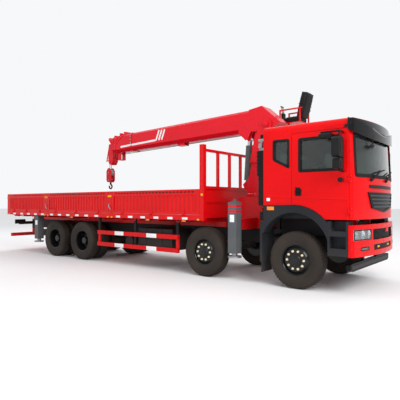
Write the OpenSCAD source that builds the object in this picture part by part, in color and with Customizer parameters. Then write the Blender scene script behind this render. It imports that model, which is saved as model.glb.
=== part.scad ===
// Truck-mounted crane: an eight-by-four flatbed truck with a slewing straight-boom crane behind the cab.
// Millimetres, +X forward, +Y to the truck's left, +Z up, wheels stand on Z = 0.

/* [Truck] */
// Bumper face to the rear of the bed
truck_len = 11920; // [11600:20:12000]
// Width over the load bed
bed_w = 2500; // [2400:10:2550]
// Bumper face to the first axle
front_overhang = 1250; // [1230:10:1280]
// First to second axle
axle_gap_12 = 2150; // [2100:10:2200]
// Third to fourth axle
axle_gap_34 = 1350; // [1320:10:1400]
// Last axle to the rear of the bed
rear_overhang = 2780; // [2720:10:2840]
// Outer width of the two frame rails
frame_w = 860; // [800:10:900]
// Height of a frame rail
rail_h = 280; // [250:10:300]
// Flange width of a frame rail
rail_t = 80; // [70:5:90]
// Top of the frame above the ground
frame_top = 1040; // [1030:5:1060]

/* [Wheels] */
// Tyre diameter
tyre_d = 1065; // [1040:5:1075]
// Tyre width
tyre_w = 275; // [250:5:285]
// Rim seat diameter
rim_d = 572; // [540:4:590]
// Outer tyre faces from the middle of the truck
tyre_out = 1205; // [1190:5:1210]
// Gap between twin tyres
twin_gap = 65; // [50:5:80]
// Kingpin axis from the middle of the truck
kingpin_y = 890; // [870:5:900]
// Kingpin diameter
kingpin_d = 50; // [44:1:56]
// Wheel spindle diameter
spindle_d = 90; // [80:1:100]
// Number of wheel nuts
nut_count = 10; // [8:1:10]

/* [Cab] */
// Cab width
cab_w = 2440; // [2400:10:2460]
// Roof height above the ground
cab_top = 3060; // [3000:10:3075]
// Lower edge of the cab
cab_bottom = 1300; // [1280:10:1320]
// Cab back wall behind the first axle
cab_back_off = 650; // [630:10:660]
// Cab front ahead of the first axle
cab_front_off = 1225; // [1210:5:1235]
// Rear door seam behind the first axle
door_back_off = 50; // [20:5:80]
// Front door seam ahead of the first axle
door_front_off = 1005; // [980:5:1020]
// Thickness of cab walls and doors
wall_t = 70; // [55:5:80]
// Door seam
door_gap = 6; // [5:1:8]
// Windscreen lower edge
screen_z = 2040; // [2000:10:2080]
// Rake of the windscreen over its height
screen_rake = 45; // [35:1:48]
// Radius of the cab's front corners seen from above
cab_corner_r = 100; // [90:2:115]
// Radius of the bowed nose seen from above
nose_r = 4200; // [3800:50:5000]
// Radius of the roof edges
roof_r = 130; // [100:10:150]
// Arch opening radius
arch_r = 685; // [675:5:695]
// Width of the arch flare
flare_w = 145; // [120:5:150]

/* [Load bed] */
// Front face of the headboard behind the first axle
bed_front_off = 2107; // [2090:5:2140]
// Top of the bed floor
floor_top = 1300; // [1290:5:1320]
// Lower edge of the bed sills
sill_bottom = 1210; // [1200:5:1215]
// Upper edge of the gates
gate_top = 1895; // [1850:5:1900]
// Thickness of a gate
gate_t = 44; // [40:2:50]
// Width of a bed post
post_w = 110; // [90:5:130]
// Middle of the first side post as a share of the bed length
post_1_share = 0.365; // [0.355:0.001:0.375]
// Middle of the second side post as a share of the bed length
post_2_share = 0.717; // [0.707:0.001:0.727]
// Clearance of moving pieces
move_gap = 6; // [5:0.5:8]
// Headboard top
headboard_top = 2770; // [2700:10:2800]

/* [Crane] */
// Slew axis behind the first axle
slew_off = 1380; // [1370:5:1390]
// Top of the crane base
base_top = 1730; // [1700:5:1760]
// Boom pivot ahead of the slew axis
pivot_ahead = 226; // [200:2:240]
// Boom pivot above the cab roof
pivot_above = 270; // [260:2:280]
// Boom pin diameter
boom_pin_d = 100; // [80:2:110]
// Boom width
boom_w = 400; // [380:5:420]
// Boom depth
boom_h = 500; // [470:5:520]
// Cut of the boom's lower edges
boom_cut_low = 85; // [75:1:95]
// Cut of the boom's upper edges
boom_cut_top = 55; // [48:1:60]
// Boom underside below the pivot
boom_drop = 110; // [100:5:120]
// Fall of the parked boom towards its tip in degrees
boom_tilt = 1.5; // [1.2:0.1:1.6]
// Length of the boom base behind the pivot
boom_len = 4960; // [4800:10:5100]
// Boom plate thickness
boom_plate = 9; // [8:0.5:10]
// Play between boom sections
boom_play = 8; // [6:0.5:9]
// Lean of the boom mouth, each way from its middle
boom_rake = 180; // [160:5:200]
// Each section's lower end beyond the one before
boom_step = 60; // [56:1:70]
// Each section's upper end beyond the one before
boom_step_top = 248; // [235:1:260]
// Luff cylinder foot behind the slew axis
luff_foot_back = 400; // [390:2:410]
// Luff cylinder foot height
luff_foot_z = 2020; // [2000:5:2040]
// Luff lug along the boom from the pivot
luff_lug_x = 560; // [550:2:575]
// Luff lug below the pivot, square to the boom
luff_lug_z = 235; // [225:2:245]
// Luff barrel diameter
luff_barrel_d = 180; // [160:5:190]
// Luff rod diameter
luff_rod_d = 110; // [95:5:115]
// Luff pin diameter
luff_pin_d = 60; // [50:2:64]

/* [Outriggers] */
// Middle of the front jacks behind the first axle
jack_off = 1367; // [1350:2:1375]
// Side of a jack tube
jack_w = 200; // [180:5:210]
// Top of the front jack tubes
jack_top = 1605; // [1550:5:1650]
// Lower end of the front jack tubes
jack_bottom = 560; // [540:5:600]
// Jack rod diameter
jack_rod_d = 120; // [100:5:130]
// Jack foot diameter
jack_foot_d = 290; // [240:5:300]
// Front feet above the ground when parked
jack_lift = 470; // [465:5:500]
// Middle of the rear jacks behind the last axle
rear_jack_back = 990; // [970:5:1010]
// Rear feet above the ground when parked
rear_jack_lift = 365; // [360:5:400]

/* [Hidden] */
$fn = 48;
axle_1 = truck_len / 2 - front_overhang;
axle_2 = axle_1 - axle_gap_12;
axle_4 = rear_overhang - truck_len / 2;
axle_3 = axle_4 + axle_gap_34;
axle_z = tyre_d / 2;
rail_out = frame_w / 2;
rail_in = rail_out - rail_t;
frame_low = frame_top - rail_h;
bed_front = axle_1 - bed_front_off;
hinge_r = 12;
hinge_out = 16;
hinge_pin_d = 10;
bed_rear = -truck_len / 2;
bed_end = bed_rear + hinge_r + hinge_out;
side_y = bed_w / 2;
cab_y = cab_w / 2;
cab_back = axle_1 - cab_back_off;
cab_front_x = axle_1 + cab_front_off;
door_back = axle_1 - door_back_off;
door_front = axle_1 + door_front_off;
door_top = cab_top - 190;
door_hinge_z = [cab_bottom + 150, cab_bottom + 700];
belt_z = cab_bottom + (cab_top - cab_bottom) * 43 / 88;
glass_top = cab_bottom + (cab_top - cab_bottom) * 73 / 88;
corner_y = cab_w / 2 - cab_corner_r;
corner_x = cab_front_x - nose_r + sqrt(pow(nose_r - cab_corner_r, 2) - pow(corner_y, 2)) + 1.5;
bow_share = corner_y / (nose_r - cab_corner_r);
headboard_t = 60;
floor_t = 40;
arch_z = tyre_d / 2 + 188;
arch_x = axle_1 - 20;
flare_r = arch_r + flare_w;
slew_x = axle_1 - slew_off;
pivot_x = slew_x + pivot_ahead;
pivot_z = cab_top + pivot_above;
jack_x = axle_1 - jack_off;
rear_jack_x = axle_4 - rear_jack_back;
tyre_mid = tyre_out - tyre_w / 2;
twin_mid = tyre_mid - tyre_w - twin_gap;
fit = 0.4;
bumper_front = truck_len / 2;
gate_low = floor_top + 35;
hinge_z = gate_low + hinge_r;
sheave_r = 110;
rope_d = 18;
post_1 = bed_front - (bed_front - bed_end) * post_1_share;
post_2 = bed_front - (bed_front - bed_end) * post_2_share;
bearer_h = 110;
// Bed posts along a side from the headboard to the rear corner
post_x = [bed_front - post_w / 2, post_1, post_2, bed_end + post_w / 2];
beam_z = frame_top + 30;
beam_h = 180;
beam_w = (jack_w - 40) / 2;
luff_foot_x = slew_x - luff_foot_back;
luff_eye_x = pivot_x - luff_lug_x * cos(boom_tilt) + luff_lug_z * sin(boom_tilt);
luff_eye_z = pivot_z - luff_lug_z * cos(boom_tilt) - luff_lug_x * sin(boom_tilt);
luff_len = sqrt(pow(luff_eye_x - luff_foot_x, 2) + pow(luff_eye_z - luff_foot_z, 2));
luff_lean = atan2(luff_eye_x - luff_foot_x, luff_eye_z - luff_foot_z);
section_step = 2 * (boom_plate + boom_play);
fork_in = boom_w / 2 + move_gap + 4;
fork_t = 32;
spigot_d = 420;
head_x = -(boom_len + boom_rake + 3 * boom_step);
boom_lip = boom_h * 0.46 - boom_drop;
sheave_out = 140;
sheave_z = -330;

paint = [0.93, 0.11, 0.13];
dark = [0.16, 0.16, 0.17];
steel = [0.55, 0.56, 0.58];
trim = [0.08, 0.08, 0.09];
pane = [0.35, 0.42, 0.45, 0.5];
lamp = [0.92, 0.92, 0.9];
tyre_colour = [0.13, 0.12, 0.11];

// A block between two corners.
module block(x0, x1, y0, y1, z0, z1) {
    translate([x0, y0, z0])
        cube([x1 - x0, y1 - y0, z1 - z0]);
}

// A side outline, x and z, drawn out from y0 to y1.
module side(points, y0, y1) {
    translate([0, y1, 0])
        rotate([90, 0, 0])
            linear_extrude(y1 - y0)
                polygon(points);
}

// An end outline, y and z, drawn out from x0 to x1.
module end(points, x0, x1) {
    translate([x0, 0, 0])
        rotate([90, 0, 90])
            linear_extrude(x1 - x0)
                polygon(points);
}

// A round bar across the truck.
module bar_y(x, z, d, y0, y1) {
    translate([x, y1, z])
        rotate([90, 0, 0])
            cylinder(d = d, h = y1 - y0);
}

// A round bar along the truck.
module bar_x(y, z, d, x0, x1) {
    translate([x0, y, z])
        rotate([0, 90, 0])
            cylinder(d = d, h = x1 - x0);
}

// A round bar standing up.
module bar_z(x, y, d, z0, z1) {
    translate([x, y, z0])
        cylinder(d = d, h = z1 - z0);
}

// Both sides of the truck.
module both() {
    children();
    mirror([0, 1, 0])
        children();
}

// A ladder frame: two channel rails joined by cross-members.
module frame() {
    front_end = bumper_front - 260;
    rear_end = bed_rear + 180;
    web = 12;
    cross_x = [front_end - 60, axle_1 - 950, axle_2 - 900, axle_3 + 2300, axle_3 + 900, axle_4 - 900, rear_end + 60];
    color(dark) {
        both()
            difference() {
                block(rear_end, front_end, rail_in, rail_out, frame_low, frame_top);
                block(rear_end - 1, front_end + 1, rail_in - 1, rail_out - web, frame_low + web, frame_top - web);
            }
        for (x = cross_x)
            block(x - 50, x + 50, -rail_out + web, rail_out - web, frame_low + 60, frame_top - 60);
    }
}

// One leaf spring under a rail, its ends on the rail's lower flange.
module spring(x, half, seat_z, y) {
    side([[x - half, frame_low], [x - half, frame_low - 70], [x - half * 0.6, seat_z + 55], [x - 90, seat_z],
        [x + 90, seat_z], [x + half * 0.6, seat_z + 55], [x + half, frame_low - 70], [x + half, frame_low],
        [x + half - 90, frame_low], [x + half * 0.55, seat_z + 115], [x + 90, seat_z + 75],
        [x - 90, seat_z + 75], [x - half * 0.55, seat_z + 115], [x - half + 90, frame_low]], y - 45, y + 45);
}

// A steered beam axle with a bored fist at each end.
module beam_axle(x) {
    fist = 150;
    difference() {
        union() {
            block(x - 55, x + 55, -kingpin_y, kingpin_y, axle_z - 60, axle_z + 50);
            both()
                bar_z(x, kingpin_y, 110, axle_z - fist / 2, axle_z + fist / 2);
        }
        both()
            bar_z(x, kingpin_y, kingpin_d, axle_z - fist, axle_z + fist);
    }
    both()
        spring(x, 700, axle_z + 50, rail_out - 45);
}

// A driven axle: housing with its round banjo, tubes and spindles that carry the twin wheels.
module drive_axle(x) {
    bar_y(x, axle_z, 170, -twin_mid + tyre_w / 2 + 15, twin_mid - tyre_w / 2 - 15);
    bar_y(x, axle_z, spindle_d - 2 * fit, -tyre_out + 175, tyre_out - 175);
    bar_x(0, axle_z, 430, x - 110, x + 130);
    both()
        block(x - 80, x + 80, rail_out - 90, rail_out, axle_z, axle_z + 140);
}

module axles() {
    color(dark) {
        for (x = [axle_1, axle_2])
            beam_axle(x);
        for (x = [axle_3, axle_4])
            drive_axle(x);
        both()
            spring_bogie();
    }
}

// The shared spring of the two driven axles, turned over on the trunnion between them.
module spring_bogie() {
    mid = (axle_3 + axle_4) / 2;
    side([[axle_4 - 70, axle_z + 60], [axle_3 + 70, axle_z + 60], [axle_3 + 70, axle_z + 140],
        [mid + 120, axle_z + 190], [mid + 120, frame_low], [mid - 120, frame_low], [mid - 120, axle_z + 190],
        [axle_4 - 70, axle_z + 140]], rail_out - 85, rail_out - 5);
}

// Engine and gearbox in one plain block below the cab, with the propeller shafts to the driven axles.
module driveline() {
    shaft_z = frame_low - 15;
    bearing = axle_3 + 1370;
    color(dark) {
        block(axle_1 - 250, axle_1 + 860, -rail_in + 20, rail_in - 20, frame_low - 30, frame_top + 190);
        block(axle_1 - 890, axle_1 - 249, -230, 230, frame_low - 150, frame_top - 20);
        bar_x(0, shaft_z, 110, bearing + 30, axle_1 - 889);
        block(bearing, bearing + 31, -90, 90, axle_z, shaft_z + 55);
        bar_x(0, axle_z + 70, 110, axle_3 + 130, bearing + 1);
        bar_x(0, axle_z + 70, 110, axle_4 + 130, axle_3 - 110);
    }
}

// Fuel tank, battery box and the air tanks hung beside the rails, spaced over the run between the wheels.
module tanks() {
    low = 470;
    out = tyre_out - 90;
    room = axle_2 - axle_3 - tyre_d - 320;
    ahead = axle_2 - tyre_d / 2 - 160;
    tank_d = room * 0.092;
    high = frame_low + 210;
    color(dark) {
        difference() {
            block(ahead - room * 0.48, ahead - room * 0.1, -out, -rail_out, low, high);
            for (s = [0.2, 0.38])
                block(ahead - room * s - 20, ahead - room * s + 20, -out - 1, -out + 8, low - 1, high + 1);
        }
        block(ahead - room * 0.4, ahead - room * 0.14, rail_out, out, low, high);
        for (s = [0.6, 0.71])
            translate([ahead - room * s, 0, 0]) {
                bar_y(0, low + 150, tank_d, rail_out + 40, out - 20);
                block(-40, 40, rail_out, rail_out + 40, low + 60, frame_low + 140);
            }
        bar_y(ahead - room * 0.6, low + 150, tank_d, -out + 20, -rail_out - 40);
        block(ahead - room * 0.6 - 40, ahead - room * 0.6 + 40, -rail_out - 40, -rail_out, low + 60, frame_low + 140);
    }
}

// Side guards: two rails between uprights that hang from the bed.
module side_guards() {
    front = axle_2 - 746;
    rear = axle_3 + 735;
    out = tyre_out - 5;
    color(paint)
        both() {
            for (z = [450, 760])
                block(rear, front, out - 35, out, z, z + 100);
            for (x = [rear, (front + rear) / 2 - 40, front - 80])
                block(x, x + 80, out - 75, out - 35, 450, sill_bottom);
        }
}

// Rear under-run bar on two hangers, with the lamp bar above it.
module rear_bumper() {
    x = bed_rear + 90;
    color(paint) {
        block(x, x + 90, -side_y + 90, side_y - 90, 470, 580);
        both()
            block(x + 90, x + 170, rail_out - 60, rail_out, 470, frame_low);
        block(x + 10, x + 90, -880, 880, 860, 960);
    }
}

// Fixed half of a gate hinge about the origin: two ears and the pin between them, along X.
module hinge_ears() {
    for (x = [-36, 22])
        translate([x, 0, 0]) {
            bar_x(0, 0, 2 * hinge_r, 0, 14);
            block(0, 14, move_gap - hinge_out, hinge_r, -50, 0);
            block(0, 14, -hinge_out - 1, 0, -50, -hinge_r - 5);
        }
    bar_x(0, 0, hinge_pin_d, -36, 36);
}

// Moving half of a gate hinge about the origin: a bored knuckle and its leaf.
module hinge_knuckle() {
    difference() {
        union() {
            bar_x(0, 0, 2 * hinge_r, -20, 20);
            block(-20, 20, -hinge_out - 1, 0, -hinge_r + 1, 60);
        }
        bar_x(0, 0, hinge_pin_d + 2 * fit, -21, 21);
    }
}

// Hinge places along side gate k.
function hinge_xs(k) = let (a = post_x[k + 1] + post_w / 2, b = post_x[k] - post_w / 2)
    [a + (b - a) * 0.15, (a + b) / 2, a + (b - a) * 0.85];

// Hinge places across the tailgate.
function tail_ys() = [-side_y * 0.6, 0, side_y * 0.6];

// Load bed floor on two long beams and cross bearers, with the side sills and the gate posts.
module bed_frame() {
    bearers = 13;
    sill_t = 100;
    sill_top = gate_low - 5;
    pitch = (bed_front - bed_rear - 300) / (bearers - 1);
    color(paint) {
        block(bed_end, bed_front - headboard_t, -side_y + sill_t, side_y - sill_t, floor_top - floor_t, floor_top);
        both() {
            block(bed_end, bed_front, side_y - sill_t, side_y, sill_bottom, sill_top);
            block(bed_rear + 260, bed_front, rail_in + 5, rail_out - 5, frame_top, sill_bottom - 60);
            for (k = [1 : 3])
                block(post_x[k] - post_w / 2, post_x[k] + post_w / 2, side_y - 70, side_y, sill_top, gate_top);
            for (k = [0 : 2])
                for (x = hinge_xs(k))
                    translate([x, side_y + hinge_out, hinge_z])
                        hinge_ears();
        }
        for (k = [0 : bearers - 1])
            end([[-side_y + sill_t, floor_top - floor_t], [-side_y + sill_t, sill_bottom + 1],
                [-side_y + sill_t + 40, sill_bottom + 1], [-side_y + sill_t + 120, sill_bottom - 60],
                [side_y - sill_t - 120, sill_bottom - 60], [side_y - sill_t - 40, sill_bottom + 1],
                [side_y - sill_t, sill_bottom + 1], [side_y - sill_t, floor_top - floor_t]],
                bed_rear + 120 + pitch * k, bed_rear + 180 + pitch * k);
        block(bed_end, bed_end + 60, -side_y + sill_t, side_y - sill_t, sill_bottom, sill_top);
        for (y = tail_ys())
            translate([bed_end - hinge_out, y, hinge_z])
                rotate([0, 0, 90])
                    hinge_ears();
    }
}

// Headboard: a solid lower panel with a stiffener, then upright bars between corner posts.
module headboard() {
    bars = 4;
    low_top = gate_top + 65;
    t = headboard_t;
    inner = side_y - 100;
    color(paint) {
        both()
            block(bed_front - post_w, bed_front, inner, side_y, gate_low - 5, headboard_top + 90);
        block(bed_front - t, bed_front - t + 25, -inner, inner, floor_top - floor_t, low_top);
        for (z = [floor_top - floor_t, (floor_top + low_top) / 2 - 30, low_top - 60, headboard_top - 60])
            block(bed_front - t, bed_front, -inner, inner, z, z + 60);
        for (k = [1 : bars])
            translate([0, -inner + 2 * inner * k / (bars + 1), 0])
                block(bed_front - t, bed_front, -25, 25, low_top - 30, headboard_top - 30);
    }
}

// Corrugated sheet seen from above: trapezoid waves between x0 and x1 on the plane y.
function waves(x0, x1, n, y, deep, thick) = concat(
    [for (k = [0 : n - 1], c = [[0.05, 0], [0.30, 0], [0.45, deep], [0.80, deep], [0.95, 0]])
        [x0 + (x1 - x0) * (k + c[0]) / n, y + c[1]]],
    [[x1, y], [x1, y - thick], [x0, y - thick], [x0, y]]);

// A side gate between two posts: top and bottom rails, end frames and the corrugated sheet.
module side_gate(k) {
    x1 = post_x[k] - post_w / 2 - move_gap;
    x0 = post_x[k + 1] + post_w / 2 + move_gap;
    rim = 85;
    inside = side_y - gate_t;
    color(paint) {
        block(x0, x1, inside, side_y, gate_low, gate_low + 60);
        difference() {
            block(x0, x1, inside, side_y, gate_top - 130, gate_top);
            for (s = [0 : 23])
                block(x0 + 130 + (x1 - x0 - 260) * (s + 0.2) / 24, x0 + 130 + (x1 - x0 - 260) * (s + 0.8) / 24,
                    side_y - 14, side_y + 1, gate_top - 62, gate_top - 44);
        }
        for (x = [x0, x1 - rim])
            block(x, x + rim, inside, side_y, gate_low + 60, gate_top - 130);
        translate([0, 0, gate_low + 60])
            linear_extrude(gate_top - 190 - gate_low)
                polygon(waves(x0 + rim, x1 - rim, 22, side_y - 24, 20, 12));
        for (x = hinge_xs(k))
            translate([x, side_y + hinge_out, hinge_z])
                hinge_knuckle();
    }
}

// The tailgate closes the bed between the rear corner posts.
module tailgate() {
    half = side_y - 100 - move_gap;
    x1 = bed_end + gate_t;
    color(paint) {
        block(bed_end, x1, -half, half, gate_low, gate_low + 60);
        block(bed_end, x1, -half, half, gate_top - 130, gate_top);
        for (y = [-half, -45, half - 90])
            block(bed_end, x1, y, y + 90, gate_low + 60, gate_top - 130);
        block(bed_end + 20, bed_end + 32, -half + 1, half - 1, gate_low + 59, gate_top - 129);
        for (y = tail_ys())
            translate([bed_end - hinge_out, y, hinge_z])
                rotate([0, 0, 90])
                    hinge_knuckle();
    }
}

// The bow of the nose seen from above, grown by g: a broad upright cylinder whose front is the nose.
module nose_bow(g, z0, z1) {
    translate([cab_front_x - nose_r, 0, z0])
        cylinder(r = nose_r + g, h = z1 - z0, $fn = 360);
}

// The cab as one closed block, its faces set in by t.
module cab_solid(t) {
    intersection() {
        translate([cab_front_x - nose_r, 0, 0])
            rotate_extrude($fn = 360)
                polygon([[0, cab_bottom - 10], [nose_r - t, cab_bottom - 10], [nose_r - t, screen_z],
                    [nose_r - screen_rake - t, cab_top], [0, cab_top]]);
        block(cab_back + t, cab_front_x, -cab_y + t, cab_y - t, cab_bottom + t, cab_top - t);
        translate([0, 0, cab_bottom - 10])
            linear_extrude(cab_top - cab_bottom + 20) {
                translate([cab_back - 10, -cab_y + t])
                    square([corner_x - cab_back + 10, cab_w - 2 * t]);
                translate([cab_back - 10, -bow_share * (nose_r - t)])
                    square([cab_front_x - t - cab_back + 10, 2 * bow_share * (nose_r - t)]);
                for (s = [-1, 1])
                    translate([corner_x, s * corner_y])
                        circle(r = cab_corner_r - t);
            }
        translate([cab_back - 10, 0, 0])
            rotate([90, 0, 90])
                linear_extrude(cab_front_x - cab_back + 20) {
                    translate([-cab_y + t - 1, cab_bottom])
                        square([cab_w - 2 * t + 2, cab_top - roof_r - cab_bottom]);
                    translate([-cab_y + roof_r - 1, cab_bottom])
                        square([cab_w - 2 * roof_r + 2, cab_top - t - cab_bottom]);
                    for (s = [-1, 1])
                        translate([s * (cab_y - roof_r + 1), cab_top - roof_r])
                            circle(r = roof_r - t);
                }
    }
}

// The cab's hollow shell.
module cab_shell() {
    difference() {
        cab_solid(0);
        cab_solid(wall_t);
    }
}

// Room taken out of both cab sides for the arch flares.
module arch_room(more) {
    both()
        bar_y(arch_x, arch_z, 2 * (flare_r + more), cab_y - 255, cab_y + 40);
}

// Outline of a rear quarter window, x and z.
function quarter_window() = [[cab_back + 220, belt_z + 240], [door_back - 60, belt_z + 75],
    [door_back - 60, glass_top + 10], [cab_back + 220, glass_top + 10]];

// Floor, back wall and rear quarters of the cab, with the cab mounts below.
module cab_body() {
    seam = door_top + door_gap;
    color(paint) {
        difference() {
            intersection() {
                cab_shell();
                block(cab_back - 1, door_front + door_gap, -cab_y - 1, cab_y + 1, cab_bottom - 1, seam);
            }
            both()
                block(door_back - door_gap, door_front + door_gap + 1, cab_y - wall_t - door_gap, cab_y + 1,
                    cab_bottom - 1, seam + 1);
            arch_room(1);
            both()
                side(quarter_window(), cab_y - wall_t - 1, cab_y + 1);
            block(cab_back - 1, cab_back + wall_t + 1, -700, 700, belt_z - 10, glass_top - 110);
            post_room();
        }
        both()
            for (x = [cab_back + 110, door_front - 200])
                block(x - 60, x + 60, rail_in + 5, rail_out - 5, frame_top, cab_bottom + 1);
    }
}

// The roof panel with its gutters.
module cab_roof() {
    color(paint)
        intersection() {
            cab_shell();
            block(cab_back - 1, cab_front_x + 1, -cab_y - 1, cab_y + 1, door_top + door_gap, cab_top + 1);
        }
}

// Room behind the front edge of the doors for the inner half of the screen posts.
module post_room() {
    half = cab_y - wall_t - door_gap;
    block(door_front - 80, door_front + door_gap + 1, -half, half, cab_bottom + wall_t + 1, door_top + door_gap);
}

// Windscreen opening.
module screen_room(less) {
    block(door_front - 50 + less, cab_front_x + 10, -cab_y + wall_t + 40 + less, cab_y - wall_t - 40 - less,
        screen_z + 10 + less, door_top - 80 - less);
}

// Front of the cab: nose panel, corner panels and windscreen frame.
module cab_front() {
    color(paint)
        difference() {
            intersection() {
                cab_shell();
                union() {
                    block(door_front + door_gap, cab_front_x + 1, -cab_y - 1, cab_y + 1, cab_bottom - 1,
                        door_top + door_gap);
                    post_room();
                }
            }
            screen_room(0);
        }
    color(paint)
        both()
            door_hinge_lugs();
}

// Curved windscreen, quarter windows and the rear window.
module cab_glass() {
    color(pane) {
        intersection() {
            difference() {
                cab_solid(22);
                cab_solid(30);
            }
            screen_room(0);
        }
        both()
            side(quarter_window(), cab_y - 28, cab_y - 20);
        block(cab_back + 22, cab_back + 30, -700, 700, belt_z - 10, glass_top - 110);
    }
}

// Fixed half of the door hinges: a pin between two lugs on the cab's corner panel.
module door_hinge_lugs() {
    for (z = door_hinge_z)
        translate([door_front, cab_y + hinge_out, z]) {
            bar_z(0, 0, hinge_pin_d, -52, 52);
            for (h = [-52, 34])
                translate([0, 0, h]) {
                    cylinder(r = hinge_r, h = 18);
                    block(0, 45, -hinge_out - 1, 0, 0, 18);
                    block(door_gap + 1, 45, -hinge_out - wall_t / 2 - 14, -hinge_out, 0, 18);
                }
        }
}

// Moving half of the door hinges: bored barrels with their leaves.
module door_hinge_barrels() {
    for (z = door_hinge_z)
        translate([door_front, cab_y + hinge_out, z])
            difference() {
                union() {
                    cylinder(r = hinge_r, h = 60, center = true);
                    block(-80, 0, -hinge_out - 1, 0, -30, 30);
                }
                cylinder(d = hinge_pin_d + 2 * fit, h = 62, center = true);
            }
}

// A door panel with its window opening; the lower rear corner follows the arch.
module door_panel() {
    color(paint)
        door_hinge_barrels();
    color(paint)
        difference() {
            translate([0, 0, cab_bottom])
                linear_extrude(door_top - cab_bottom)
                    intersection() {
                        translate([door_back, cab_y - wall_t])
                            square([door_front - door_back, wall_t]);
                        union() {
                            translate([door_back - 1, cab_y - wall_t - 1])
                                square([corner_x - door_back + 1, wall_t + 1]);
                            translate([corner_x, corner_y])
                                circle(r = cab_corner_r);
                        }
                    }
            arch_room(door_gap);
            door_window(cab_y - wall_t - 1, cab_y + 1);
            side([[door_back + 60, belt_z - 280], [door_back + 150, belt_z - 280], [door_back + 195, belt_z - 330],
                [door_back + 195, belt_z - 450], [door_back + 60, belt_z - 450]], cab_y - 14, cab_y + 1);
        }
}

// Window outline of a door, drawn out from y0 to y1.
module door_window(y0, y1) {
    side([[door_back + 175, belt_z], [door_front - 100, belt_z], [door_front - 100, glass_top - 80],
        [door_front - 170, glass_top], [door_back + 175, glass_top], [door_back + 145, glass_top - 30],
        [door_back + 145, belt_z + 30]], y0, y1);
}

// A mirror head with cut corners between two places along each axis.
module mirror_head(x0, x1, y0, y1, z0, z1, cut) {
    end([[y0 + cut, z0], [y1 - cut, z0], [y1, z0 + cut], [y1, z1 - cut], [y1 - cut, z1], [y0 + cut, z1],
        [y0, z1 - cut], [y0, z0 + cut]], x0, x1);
}

// Door mirrors on a tube arm: a main glass, a wide one below it and a kerb mirror.
module mirror_set() {
    arm_x = door_front - 90;
    arm_y = cab_y + 190;
    top = glass_top + 40;
    low = belt_z - 30;
    color(trim) {
        for (z = [low, top])
            bar_y(arm_x, z, 34, cab_y, arm_y);
        bar_z(arm_x, arm_y, 34, low - 17, top + 17);
        mirror_head(arm_x - 90, arm_x + 40, arm_y - 100, arm_y + 130, belt_z + 200, glass_top - 60, 40);
        mirror_head(arm_x - 80, arm_x + 40, arm_y - 90, arm_y + 110, belt_z, belt_z + 175, 30);
        block(arm_x - 330, arm_x, arm_y - 30, arm_y, top - 15, top + 15);
        mirror_head(arm_x - 330, arm_x - 130, arm_y - 110, arm_y + 90, glass_top - 70, glass_top + 10, 20);
        bar_z(arm_x - 200, arm_y - 15, 24, glass_top, top);
    }
}

// Plan outline of the nose grown by g, standing from z0 to z1 ahead of x0.
module nose_plan(g, x0, z0, z1) {
    intersection() {
        nose_bow(g, z0 - 1, z1 + 1);
        translate([0, 0, z0])
            linear_extrude(z1 - z0) {
                if (x0 < corner_x)
                    translate([x0, -cab_y - g])
                        square([corner_x - x0, cab_w + 2 * g]);
                translate([x0, -bow_share * (nose_r + g)])
                    square([cab_front_x + g - x0, 2 * bow_share * (nose_r + g)]);
                intersection() {
                    translate([x0, -cab_w])
                        square([cab_front_x - x0, 2 * cab_w]);
                    for (s = [-1, 1])
                        translate([corner_x, s * corner_y])
                            circle(r = cab_corner_r + g);
                }
            }
    }
}

// A skin along the nose between two depths ahead of it, cut to an end outline, y and z.
module nose_skin(points, g0, g1, z0, z1) {
    intersection() {
        end(points, cab_front_x - 600, cab_front_x + g1 + 10);
        difference() {
            nose_plan(g1, cab_front_x - 500, z0, z1);
            nose_plan(g0, cab_front_x - 501, z0 - 1, z1 + 1);
        }
    }
}

// A rectangle, y and z, for an end outline.
function pane_at(y0, y1, z0, z1) = [[y0, z0], [y1, z0], [y1, z1], [y0, z1]];

// Sun visor over the windscreen, with the look-down mirror on its arm.
module visor() {
    top = cab_top - 15;
    tip = glass_top - 60;
    reach = 22;
    x0 = cab_front_x - 230;
    look_y = -550;
    bow = nose_r - sqrt(nose_r * nose_r - look_y * look_y);
    color(trim) {
        intersection() {
            difference() {
                nose_plan(reach, x0, tip - 20, top + 20);
                nose_plan(reach - 12, x0 - 1, tip - 21, top + 21);
            }
            side([[x0, top], [cab_front_x - 120, top - 30], [cab_front_x - 20, top - 120], [cab_front_x + 60, tip + 40],
                [cab_front_x + 60, tip - 10], [cab_front_x - 60, tip + 40], [x0, tip + 150]], -cab_y - 60, cab_y + 60);
        }
        both()
            block(x0 - 60, x0 + 15, cab_y, cab_y + reach - 8, door_top + 15, door_top + 60);
        bar_z(cab_front_x + reach - bow - 6, look_y, 22, tip - 110, tip + 110);
        translate([cab_front_x + reach - bow - 12, look_y, tip - 100])
            scale([0.4, 1, 0.45])
                sphere(r = 95, $fn = 32);
    }
}

// Nose grille: a pentagon frame with slats below a narrow strip, all on the bow of the nose.
module grille() {
    out = 24;
    top = screen_z - 260;
    low = top - 360;
    slats = 4;
    color(trim) {
        difference() {
            nose_skin([[-730, top], [730, top], [600, top - 280], [0, low], [-600, top - 280]], 0, out, low, top);
            nose_skin([[-680, top - 30], [680, top - 30], [560, top - 255], [0, low + 40], [-560, top - 255]],
                8, out + 1, low, top);
        }
        for (k = [0 : slats - 1])
            nose_skin(pane_at(-665 + 40 * k, 665 - 40 * k, top - 75 - 66 * k, top - 45 - 66 * k), 6, out - 3, low, top);
        nose_skin(pane_at(-660, 660, top + 75, top + 130), 0, 16, top, top + 200);
    }
}

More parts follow.
